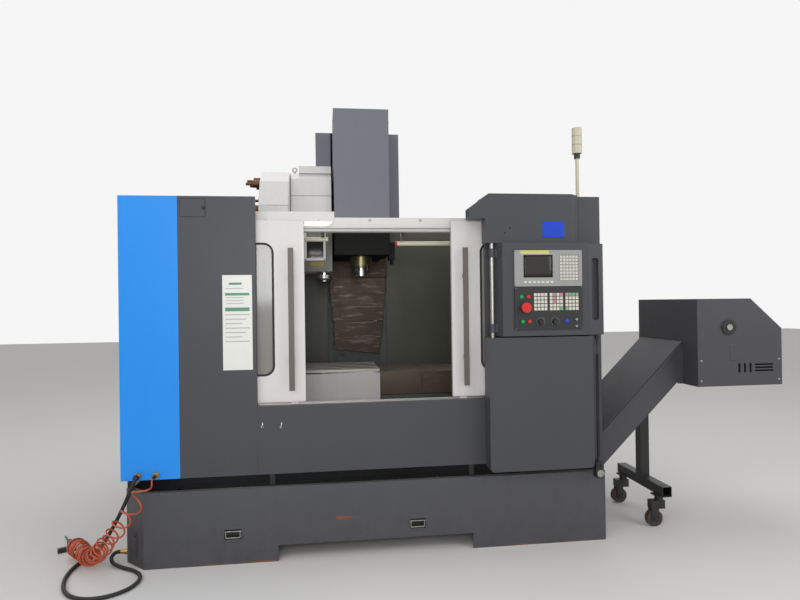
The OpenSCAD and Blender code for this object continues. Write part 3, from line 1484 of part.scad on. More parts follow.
module cabinet_door() {
    y0 = case_y1 + 2;
    y1 = case_y1 + 30;
    color(grey) {
        difference() {
            block(-case_x + 14, case_x, y0, y1, case_low, case_top);
            block(-case_x + 14 + sheet, case_x - sheet, y0 - 1, y1 - sheet, case_low + sheet,
                case_top - sheet);
            for (i = [0:7]) translate([case_x - 420, y1 - 10, case_low + 90 + i * 22])
                cube([300, 11, 8]);
        }
        for (z = hinge_z) difference() {
            union() {
                rod_z(hinge_x, hinge_y, z + 38 + gap, z + 78, hinge_d);
                block(hinge_x, -case_x + 15, hinge_y - 4, hinge_y + 4, z + 38 + gap, z + 78);
            }
            rod_z(hinge_x, hinge_y, z + 37, z + 79, hinge_pin + 2 * running);
        }
    }
    color(dark) block(case_x - 60, case_x - 30, y1, y1 + 16, 1150, 1290);
}

// Hoses at the left front corner

air_hose_route = [[-1160, -734, 488], [-1160, -764, 488], [-1170, -798, 470], [-1192, -822, 436],
    [-1225, -834, 388], [-1268, -836, 326], [-1316, -828, 262], [-1364, -810, 200], [-1410, -784, 146],
    [-1452, -748, 104], [-1490, -704, 79], [-1528, -657, 70], [-1566, -609, 70], [-1602, -561, 70],
    [-1634, -512, 60], [-1655, -470, 50]];
air_hose_width = 92;
air_tail_route = [[-1655, -470, 50], [-1668, -448, 38], [-1680, -426, 22], [-1690, -406, 13],
    [-1696, -396, 13]];
coolant_hose_route = [[-1252, -734, 488], [-1252, -746, 488], [-1260, -756, 462], [-1280, -756, 416],
    [-1308, -742, 356], [-1356, -706, 270], [-1408, -660, 185], [-1458, -614, 112], [-1504, -577, 56],
    [-1544, -561, 22], [-1574, -580, 11], [-1590, -640, 11], [-1592, -730, 11], [-1574, -830, 11],
    [-1532, -930, 11], [-1468, -1002, 11], [-1384, -1036, 11], [-1298, -1018, 11], [-1232, -962, 11],
    [-1204, -886, 11], [-1216, -812, 11], [-1262, -752, 11], [-1330, -706, 12], [-1392, -664, 20],
    [-1416, -624, 36], [-1408, -594, 48], [-1392, -585, 50], [-1380, -585, 50]];
thin_hose_d = 20;
function unit(v) = v / max(norm(v), 0.0001);
function path_dir(p, i) = unit(p[min(i + 1, len(p) - 1)] - p[max(i - 1, 0)]);
function side_of(d) = unit(cross(d, abs(d[2]) > 0.98 ? [1, 0, 0] : [0, 0, 1]));
// A round tube swept along a list of points
module swept_tube(path, d, sides) {
    n = len(path);
    rings = [for (i = [0:n - 1]) let (t = path_dir(path, i), a = side_of(t), b = cross(a, t))
        [for (k = [0:sides - 1]) path[i] + d / 2 * (cos(k * 360 / sides) * a + sin(k * 360 / sides) * b)]];
    points = [for (r = rings) for (p = r) p];
    walls = [for (i = [0:n - 2]) for (k = [0:sides - 1]) let (q = (k + 1) % sides)
        [i * sides + k, i * sides + q, (i + 1) * sides + q, (i + 1) * sides + k]];
    ends = [[for (k = [sides - 1:-1:0]) k], [for (k = [0:sides - 1]) (n - 1) * sides + k]];
    polyhedron(points, concat(walls, ends));
}
module air_hose() {
    color([0.85, 0.35, 0.2]) {
        swept_tube(air_hose_route, air_hose_width, 12);
        swept_tube(air_tail_route, thin_hose_d / 2, 8);
    }
}
module coolant_hose() {
    color(dark) swept_tube(coolant_hose_route, thin_hose_d, 8);
}
module blow_gun() {
    color(steel) translate([-1696, -396, 0]) rotate([0, 0, 121]) {
        along_z(0, 26) polygon([[0, -12], [120, -12], [132, -4], [132, 12], [24, 12], [24, 78], [0, 78]]);
        rod_x(132, 230, 4, 13, 9);
    }
}

bed();
levelling_feet();
column();
column_cover();
coolant_tank();
corner_panel();
left_panel();
sill_panel();
right_pillar();
door_beam();
enclosure_walls();
changer_housing();
conveyor_channel();
conveyor_hood();
conveyor_belt();
conveyor_stand();
conveyor_shaft();
conveyor_wheels();
rear_cabinet();
cabinet_door();
signal_tower();
air_hose();
coolant_hose();
blow_gun();
saddle();
table();
table_guard();
head();
head_cover();
spindle_cartridge();
spindle_shaft();
x_screw();
y_screw();
z_screw();
x_cover_left_1();
x_cover_left_2();
x_cover_right_1();
x_cover_right_2();
z_cover_1();
z_cover_2();
z_cover_3();
z_cover_4();
left_door();
right_door();
magazine_drum();
change_pot();
arm_shaft();
change_arm();
control_box();
control_face();
emergency_stop();
start_button();
stop_button();
mode_knob();
feed_knob();
pendant();
pendant_wheel();
pendant_cord();
left_pull();
right_pull();
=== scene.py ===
import bpy
import math
import numpy as np
from mathutils import Matrix, Vector


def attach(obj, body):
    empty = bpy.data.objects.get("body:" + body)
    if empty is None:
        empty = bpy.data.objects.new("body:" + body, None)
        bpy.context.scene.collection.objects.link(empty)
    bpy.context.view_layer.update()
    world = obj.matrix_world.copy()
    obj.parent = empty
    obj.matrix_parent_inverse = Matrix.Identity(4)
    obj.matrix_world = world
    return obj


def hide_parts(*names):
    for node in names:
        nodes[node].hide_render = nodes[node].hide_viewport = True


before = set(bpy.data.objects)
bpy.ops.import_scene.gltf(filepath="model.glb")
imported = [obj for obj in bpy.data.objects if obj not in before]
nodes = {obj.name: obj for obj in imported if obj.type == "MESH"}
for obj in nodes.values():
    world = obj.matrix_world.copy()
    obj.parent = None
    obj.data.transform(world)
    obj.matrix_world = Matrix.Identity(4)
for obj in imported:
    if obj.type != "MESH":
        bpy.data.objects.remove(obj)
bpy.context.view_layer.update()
print("frame loaded")

# Camera, floor and light

cameraValues = {
    "place": (-0.269, -4.035, 1.393),   # metres
    "yawRight": 7.30,                   # degrees right of +Y
    "pitchUp": 0.16,                    # degrees
    "rollClockwise": 0.76,              # degrees
    "lens": 27.045,                     # millimetres on a 36 mm sensor
}
stageValues = {
    "floorColour": (0.78, 0.77, 0.75),
    "floorSize": 40.0,                  # metres
    "skyLight": 0.45,
    "keyPower": 90.0,                   # watts
    "fillPower": 80.0,
    "topPower": 90.0,
    "frontPower": 45.0,
}

def addCamera(v):
    data = bpy.data.cameras.new("camera")
    data.lens = v["lens"]
    data.sensor_width = 36.0
    data.clip_start = 0.05
    data.clip_end = 100.0
    camera = bpy.data.objects.new("camera", data)
    bpy.context.scene.collection.objects.link(camera)
    turn = (Matrix.Rotation(math.radians(-v["yawRight"]), 4, "Z")
            @ Matrix.Rotation(math.radians(90.0 + v["pitchUp"]), 4, "X")
            @ Matrix.Rotation(math.radians(-v["rollClockwise"]), 4, "Z"))
    camera.matrix_world = Matrix.Translation(v["place"]) @ turn
    bpy.context.scene.camera = camera

def addAreaLight(name, place, target, size, power):
    data = bpy.data.lights.new(name, "AREA")
    data.shape = "RECTANGLE"
    data.size, data.size_y = size
    data.energy = power
    light = bpy.data.objects.new(name, data)
    bpy.context.scene.collection.objects.link(light)
    turn = (Vector(target) - Vector(place)).to_track_quat("-Z", "Y").to_matrix().to_4x4()
    light.matrix_world = Matrix.Translation(place) @ turn

def addStage(v):
    bpy.context.scene.view_settings.view_transform = "Standard"
    world = bpy.data.worlds.new("studio")
    bpy.context.scene.world = world
    world.use_nodes = True
    tree = world.node_tree
    background = tree.nodes["Background"]
    background.inputs["Color"].default_value = (1.0, 1.0, 1.0, 1.0)
    # white where the camera, a reflection or a glass sees it, plain light elsewhere
    path = tree.nodes.new("ShaderNodeLightPath")
    seen = None
    for kind in ("Is Camera Ray", "Is Glossy Ray", "Is Transmission Ray"):
        if seen is None:
            seen = path.outputs[kind]
            continue
        most = tree.nodes.new("ShaderNodeMath")
        most.operation = "MAXIMUM"
        tree.links.new(seen, most.inputs[0])
        tree.links.new(path.outputs[kind], most.inputs[1])
        seen = most.outputs[0]
    strength = tree.nodes.new("ShaderNodeMapRange")
    strength.inputs["To Min"].default_value = v["skyLight"]
    strength.inputs["To Max"].default_value = 0.92
    tree.links.new(seen, strength.inputs["Value"])
    tree.links.new(strength.outputs["Result"], background.inputs["Strength"])
    half = v["floorSize"] / 2
    mesh = bpy.data.meshes.new("floor")
    corners = [(-half, -half, 0), (half, -half, 0), (half, half, 0), (-half, half, 0)]
    mesh.from_pydata(corners, [], [(0, 1, 2, 3)])
    floor = bpy.data.objects.new("floor", mesh)
    bpy.context.scene.collection.objects.link(floor)
    material = bpy.data.materials.new("floorMaterial")
    material.use_nodes = True
    shader = material.node_tree.nodes["Principled BSDF"]
    shader.inputs["Base Color"].default_value = (*v["floorColour"], 1.0)
    shader.inputs["Roughness"].default_value = 0.85
    mesh.materials.append(material)
    addAreaLight("keyLight", (-3.4, -5.6, 5.0), (0.2, 0.0, 1.0), (4.5, 3.0), v["keyPower"])
    addAreaLight("fillLight", (4.8, -4.2, 3.4), (0.6, 0.0, 1.0), (3.5, 3.5), v["fillPower"])
    addAreaLight("frontLight", (-0.5, -5.2, 1.9), (0.0, 0.0, 1.1), (1.6, 1.0), v["frontPower"])
    addAreaLight("topLight", (0.2, 1.2, 6.0), (0.2, 0.4, 0.0), (5.0, 4.0), v["topPower"])

addCamera(cameraValues)
addStage(stageValues)
print("stage ready")

# Shader groups

def newGroup(name, inputs, outputs):
    group = bpy.data.node_groups.new(name, "ShaderNodeTree")
    kinds = {"colour": "NodeSocketColor", "value": "NodeSocketFloat", "vector": "NodeSocketVector"}
    for label, kind, start in inputs:
        socket = group.interface.new_socket(name=label, in_out="INPUT", socket_type=kinds[kind])
        socket.default_value = start
    for label, kind in outputs:
        group.interface.new_socket(name=label, in_out="OUTPUT", socket_type=kinds[kind])
    return group, group.nodes.new("NodeGroupInput"), group.nodes.new("NodeGroupOutput")

def setOrLink(tree, socket, value):
    if isinstance(value, bpy.types.NodeSocket):
        tree.links.new(value, socket)
    elif value is not None:
        socket.default_value = value

def maths(tree, operation, a, b=None, c=None, clamp=False):
    node = tree.nodes.new("ShaderNodeMath")
    node.operation = operation
    node.use_clamp = clamp
    for socket, value in zip(node.inputs, (a, b, c)):
        setOrLink(tree, socket, value)
    return node.outputs[0]

def vectorMaths(tree, operation, a, b=None):
    node = tree.nodes.new("ShaderNodeVectorMath")
    node.operation = operation
    setOrLink(tree, node.inputs[0], a)
    setOrLink(tree, node.inputs[1], b)
    return node.outputs["Value" if operation in ("LENGTH", "DOT_PRODUCT", "DISTANCE") else "Vector"]

def mixColour(tree, mask, a, b, kind="MIX"):
    node = tree.nodes.new("ShaderNodeMix")
    node.data_type = "RGBA"
    node.blend_type = kind
    setOrLink(tree, node.inputs["Factor"], mask)
    setOrLink(tree, node.inputs[6], a)
    setOrLink(tree, node.inputs[7], b)
    return node.outputs[2]

def mixValue(tree, mask, a, b):
    node = tree.nodes.new("ShaderNodeMix")
    node.data_type = "FLOAT"
    setOrLink(tree, node.inputs["Factor"], mask)
    setOrLink(tree, node.inputs[2], a)
    setOrLink(tree, node.inputs[3], b)
    return node.outputs[0]

def noise(tree, place, scale, detail=3.0, rough=0.5, stretch=None):
    if stretch is not None:
        mapping = tree.nodes.new("ShaderNodeMapping")
        mapping.inputs["Scale"].default_value = stretch
        tree.links.new(place, mapping.inputs["Vector"])
        place = mapping.outputs["Vector"]
    node = tree.nodes.new("ShaderNodeTexNoise")
    tree.links.new(place, node.inputs["Vector"])
    setOrLink(tree, node.inputs["Scale"], scale)
    node.inputs["Detail"].default_value = detail
    node.inputs["Roughness"].default_value = rough
    return node.outputs["Fac"]

def between(tree, value, low, high):
    # 0 below low, 1 above high, smooth between them
    node = tree.nodes.new("ShaderNodeMapRange")
    node.interpolation_type = "SMOOTHSTEP"
    setOrLink(tree, node.inputs["Value"], value)
    setOrLink(tree, node.inputs["From Min"], low)
    setOrLink(tree, node.inputs["From Max"], high)
    return node.outputs["Result"]

def objectPlace(tree):
    return tree.nodes.new("ShaderNodeTexCoord").outputs["Object"]

def makeBoxGroup():
    # 1 inside a box given by its low and high corners in metres, 0 outside
    group, start, end = newGroup("insideBox", [("Low", "vector", (0, 0, 0)), ("High", "vector", (1, 1, 1))],
                                 [("Mask", "value")])
    place = objectPlace(group)
    parts = []
    for low in (True, False):
        difference = (vectorMaths(group, "SUBTRACT", place, start.outputs["Low"]) if low
                      else vectorMaths(group, "SUBTRACT", start.outputs["High"], place))
        split = group.nodes.new("ShaderNodeSeparateXYZ")
        group.links.new(difference, split.inputs[0])
        parts += [split.outputs[k] for k in range(3)]
    least = parts[0]
    for part in parts[1:]:
        least = maths(group, "MINIMUM", least, part)
    group.links.new(maths(group, "GREATER_THAN", least, 0.0), end.inputs["Mask"])
    return group

def makeWearGroup():
    # paint or metal with cloudy shade, downward streaks, chipped edges, dust on top and grime near the floor
    group, start, end = newGroup(
        "shopWear",
        [("Colour", "colour", (0.5, 0.5, 0.5, 1)), ("Roughness", "value", 0.4), ("Metal", "value", 0.0),
         ("Bare Colour", "colour", (0.3, 0.3, 0.3, 1)), ("Grime Colour", "colour", (0.05, 0.045, 0.04, 1)),
         ("Wear", "value", 0.3), ("Grime", "value", 0.3), ("Grime Top", "value", 0.6),
         ("Clouds", "value", 0.1), ("Grain", "value", 0.1)],
        [("Colour", "colour"), ("Roughness", "value"), ("Metal", "value"), ("Normal", "vector")])
    read = start.outputs
    place = objectPlace(group)
    split = group.nodes.new("ShaderNodeSeparateXYZ")
    group.links.new(place, split.inputs[0])
    # cloudy shade
    clouds = noise(group, place, 2.3, 4.0, 0.6)
    swing = maths(group, "MULTIPLY", maths(group, "SUBTRACT", clouds, 0.5), read["Clouds"])
    shade = maths(group, "ADD", swing, 1.0)
    colour = vectorMaths(group, "MULTIPLY", read["Colour"], None)
    spread = group.nodes.new("ShaderNodeCombineXYZ")
    for k in range(3):
        group.links.new(shade, spread.inputs[k])
    group.links.new(spread.outputs[0], colour.node.inputs[1])
    # edges found by comparing a rounded normal with the true one
    geometry = group.nodes.new("ShaderNodeNewGeometry")
    bevel = group.nodes.new("ShaderNodeBevel")
    bevel.samples = 4
    bevel.inputs["Radius"].default_value = 0.004
    sharp = maths(group, "SUBTRACT", 1.0, vectorMaths(group, "DOT_PRODUCT", bevel.outputs["Normal"],
                                                      geometry.outputs["True Normal"]))
    edge = between(group, sharp, 0.02, 0.12)
    flakes = between(group, noise(group, place, 26.0, 6.0, 0.65), 0.52, 0.62)
    scratches = between(group, noise(group, place, 9.0, 8.0, 0.7, (1.0, 1.0, 5.0)), 0.70, 0.76)
    chips = maths(group, "ADD", maths(group, "MULTIPLY", edge, flakes),
                  maths(group, "MULTIPLY", scratches, 0.5))
    chipped = maths(group, "MULTIPLY", chips, read["Wear"], clamp=True)
    colour = mixColour(group, chipped, colour, read["Bare Colour"])
    # streaks that run down, and splashes that gather towards the floor
    streaks = between(group, noise(group, place, 7.0, 5.0, 0.6, (6.0, 6.0, 0.35)), 0.48, 0.78)
    low = maths(group, "SUBTRACT", 1.0, between(group, split.outputs["Z"], 0.0, read["Grime Top"]))
    splashes = between(group, noise(group, place, 11.0, 7.0, 0.65), 0.40, 0.66)
    dirt = maths(group, "ADD", maths(group, "MULTIPLY", streaks, 0.35),
                 maths(group, "MULTIPLY", maths(group, "MULTIPLY", low, splashes), 0.9))
    dirt = maths(group, "MULTIPLY", dirt, read["Grime"], clamp=True)
    colour = mixColour(group, dirt, colour, read["Grime Colour"])
    # dust that settles on level faces
    up = group.nodes.new("ShaderNodeSeparateXYZ")
    group.links.new(geometry.outputs["True Normal"], up.inputs[0])
    level = between(group, up.outputs["Z"], 0.75, 0.98)
    dust = maths(group, "MULTIPLY", maths(group, "MULTIPLY", level, between(group, clouds, 0.25, 0.75)),
                 maths(group, "MULTIPLY", read["Grime"], 0.55), clamp=True)
    colour = mixColour(group, dust, colour, (0.30, 0.27, 0.23, 1))
    group.links.new(colour, end.inputs["Colour"])
    dull = maths(group, "MULTIPLY", maths(group, "ADD", dirt, dust), 0.35)
    matt = maths(group, "ADD", read["Roughness"], dull)
    matt = maths(group, "ADD", matt, maths(group, "MULTIPLY", maths(group, "SUBTRACT", flakes, 0.5),
                                           maths(group, "MULTIPLY", read["Grain"], 0.4)), clamp=True)
    group.links.new(matt, end.inputs["Roughness"])
    clean = maths(group, "SUBTRACT", 1.0, maths(group, "ADD", dirt, dust, clamp=True))
    group.links.new(maths(group, "MULTIPLY", read["Metal"], clean), end.inputs["Metal"])
    bump = group.nodes.new("ShaderNodeBump")
    bump.inputs["Distance"].default_value = 0.001
    group.links.new(read["Grain"], bump.inputs["Strength"])
    group.links.new(noise(group, place, 180.0, 3.0, 0.5), bump.inputs["Height"])
    group.links.new(bevel.outputs["Normal"], bump.inputs["Normal"])
    group.links.new(bump.outputs["Normal"], end.inputs["Normal"])
    return group

boxGroup = makeBoxGroup()
wearGroup = makeWearGroup()

# Finishes, in linear colour

def paint(hexCode):
    parts = [int(hexCode[k:k + 2], 16) / 255 for k in (0, 2, 4)]
    return tuple(c / 12.92 if c <= 0.04045 else ((c + 0.055) / 1.055) ** 2.4 for c in parts) + (1.0,)

def finish(colour, roughness, bare, wear, grime, clouds, metal=0.0, grain=0.08, specular=0.5):
    # bare is the colour under a chipped edge; wear, grime, clouds and grain are shares from 0 to 1
    return {"colour": paint(colour), "roughness": roughness, "bare": paint(bare), "wear": wear,
            "grime": grime, "clouds": clouds, "metal": metal, "grain": grain, "specular": specular}

finishes = {
    "panelGrey": finish("46474c", 0.42, "8a8a8a", 0.35, 0.28, 0.1, specular=0.35),
    "tankGrey": finish("494a4f", 0.45, "77706a", 0.75, 0.6, 0.22),
    "panelBlue": finish("1290f1", 0.34, "9fb4c8", 0.25, 0.1, 0.05),
    "doorWhite": finish("dcdad8", 0.4, "9a958c", 0.35, 0.16, 0.05),
    "coverGrey": finish("74767f", 0.4, "a0a0a0", 0.2, 0.14, 0.08),
    "innerOlive": finish("58584e", 0.38, "6e6658", 0.4, 0.55, 0.3),
    "conveyorGrey": finish("424145", 0.5, "7d7a78", 0.45, 0.3, 0.16),
    "casting": finish("4c544f", 0.55, "6c6c68", 0.3, 0.5, 0.25, grain=0.5),
    "steel": finish("a8a6a0", 0.34, "c8c6c0", 0.3, 0.3, 0.25, metal=1.0),
    "bright": finish("c9c9c6", 0.18, "dddddd", 0.1, 0.12, 0.1, metal=1.0),
    "coverSteel": finish("675d50", 0.34, "463c30", 0.6, 0.42, 0.35, metal=0.6),
    # this near-black finish is the colour of dark parts, and is also used as painted shade in the hollow behind
    # the coolant tank's lip
    "darkPartAndShade": finish("1d1d1f", 0.45, "4a4a4a", 0.2, 0.18, 0.1, grain=0.2),
    "handleSteel": finish("5c5b5b", 0.36, "9c9a96", 0.5, 0.2, 0.15, metal=0.7),
    "rubber": finish("161616", 0.7, "2c2c2c", 0.2, 0.35, 0.1, grain=0.4),
    "wheelTread": finish("3a2f2a", 0.65, "594a40", 0.3, 0.4, 0.2),
    "orangeHose": finish("c2512c", 0.38, "7c4632", 0.3, 0.45, 0.35),
    "toolBrown": finish("6b4a2c", 0.48, "8d7558", 0.5, 0.5, 0.5, metal=0.5),
    "faceGrey": finish("9a9b9a", 0.5, "b8b8b8", 0.2, 0.12, 0.05),
    "faceDark": finish("232427", 0.45, "4a4a4c", 0.15, 0.12, 0.05),
    "keyCream": finish("d8d6c8", 0.5, "b0ae9c", 0.1, 0.15, 0.05),
    "stopRed": finish("d4281e", 0.3, "a03a30", 0.1, 0.08, 0.05),
    "startGreen": finish("17a04a", 0.32, "3a8050", 0.1, 0.08, 0.05),
    "buttonBlue": finish("1245c8", 0.35, "4a64a0", 0.1, 0.08, 0.05),
    "yellow": finish("e2b31c", 0.42, "b08e2c", 0.1, 0.08, 0.05),
    "brass": finish("b08d4a", 0.32, "c8a868", 0.2, 0.25, 0.2, metal=1.0),
    "lampCream": finish("cfcbb2", 0.28, "b0ac98", 0.05, 0.12, 0.06),
    "sheetWhite": finish("e6e7e2", 0.35, "c8c8c0", 0.1, 0.05, 0.03),
    "oldCover": finish("382f28", 0.4, "8c8378", 0.6, 0.6, 0.7, metal=0.75),
    "gripSteel": finish("625a55", 0.46, "b0aaa2", 0.4, 0.25, 0.2, metal=0.3),
    "windowGlass": finish("8a8984", 0.1, "8a8984", 0.0, 0.35, 0.12, grain=0.0),
    "darkGlass": finish("26241f", 0.1, "26241f", 0.0, 0.15, 0.3, grain=0.0),
    "paleYellow": finish("cfc878", 0.45, "b0aa70", 0.1, 0.1, 0.05),
    "plateYellow": finish("8f7a12", 0.45, "6a5c20", 0.3, 0.3, 0.2),
    "rowGrey": finish("b4b7b0", 0.4, "b4b7b0", 0.0, 0.05, 0.05),
    "bandGreen": finish("4f8f6c", 0.4, "4f8f6c", 0.0, 0.05, 0.05),
    "lampBlue": finish("1b2c5e", 0.3, "1b2c5e", 0.1, 0.1, 0.1),
    "keyPink": finish("c98a8c", 0.5, "b08080", 0.1, 0.12, 0.05),
    "keyGreen": finish("7fb38a", 0.5, "80a088", 0.1, 0.12, 0.05),
    "headDark": finish("1a1b19", 0.55, "3c3c3a", 0.3, 0.3, 0.2, specular=0.12),
    "oldSpindle": finish("7d7654", 0.3, "a49c7c", 0.4, 0.4, 0.5, metal=0.85),
    "rust": finish("8a4a24", 0.7, "6a3a20", 0.2, 0.2, 0.4, grain=0.4),
    "stain": finish("4c3f2e", 0.55, "5c4c38", 0.2, 0.3, 0.4),
    "streak": finish("554a40", 0.3, "8c8478", 0.3, 0.3, 0.3, metal=0.7),
    "backPlate": finish("b9bcc0", 0.38, "d0d0d0", 0.1, 0.05, 0.1, metal=0.8),
}

def finishMaterial(name, base, layers=(), grimeTop=0.6, grimeColour=None):
    # base is a finish, and each layer is a finish with the boxes (low corner, high corner) that it fills;
    # a third item makes the layer patchy: it is the share of the box that stays free of it
    material = bpy.data.materials.new(name)
    material.use_nodes = True
    tree = material.node_tree
    shader = tree.nodes["Principled BSDF"]
    first = finishes[base]
    state = dict(first)
    for finishName, boxes, *patchy in layers:
        layer = finishes[finishName]
        mask = None
        for low, high in boxes:
            box = tree.nodes.new("ShaderNodeGroup")
            box.node_tree = boxGroup
            box.inputs["Low"].default_value = low
            box.inputs["High"].default_value = high
            mask = box.outputs["Mask"] if mask is None else maths(tree, "MAXIMUM", mask, box.outputs["Mask"])
        for share in patchy:
            spots = noise(tree, objectPlace(tree), 11.0, 7.0, 0.60, (0.5, 1.0, 3.0))
            mask = maths(tree, "MULTIPLY", mask, between(tree, spots, share - 0.08, share + 0.12))
        for key in ("colour", "bare"):
            state[key] = mixColour(tree, mask, state[key], layer[key])
        for key in ("roughness", "metal", "wear", "grime", "clouds", "grain"):
            if isinstance(state[key], float) and state[key] == layer[key]:
                continue
            state[key] = mixValue(tree, mask, state[key], layer[key])
    shader.inputs["Specular IOR Level"].default_value = first["specular"]
    wear = tree.nodes.new("ShaderNodeGroup")
    wear.node_tree = wearGroup
    for label, key in (("Colour", "colour"), ("Bare Colour", "bare"), ("Roughness", "roughness"),
                       ("Metal", "metal"), ("Wear", "wear"), ("Grime", "grime"), ("Clouds", "clouds"),
                       ("Grain", "grain")):
        setOrLink(tree, wear.inputs[label], state[key])
    wear.inputs["Grime Top"].default_value = grimeTop
    if grimeColour:
        wear.inputs["Grime Colour"].default_value = grimeColour
    tree.links.new(wear.outputs["Colour"], shader.inputs["Base Color"])
    tree.links.new(wear.outputs["Roughness"], shader.inputs["Roughness"])
    tree.links.new(wear.outputs["Metal"], shader.inputs["Metallic"])
    tree.links.new(wear.outputs["Normal"], shader.inputs["Normal"])
    return material

def dress(nodeName, material):
    mesh = nodes[nodeName].data
    mesh.materials.clear()
    mesh.materials.append(material)

# Dressing of the solids; every box is (low corner, high corner) in metres

def span(x, y, z):
    return (x[0], y[0], z[0]), (x[1], y[1], z[1])

far = 9.0
everyX, everyY, everyZ = (-far, far), (-far, far), (-far, far)

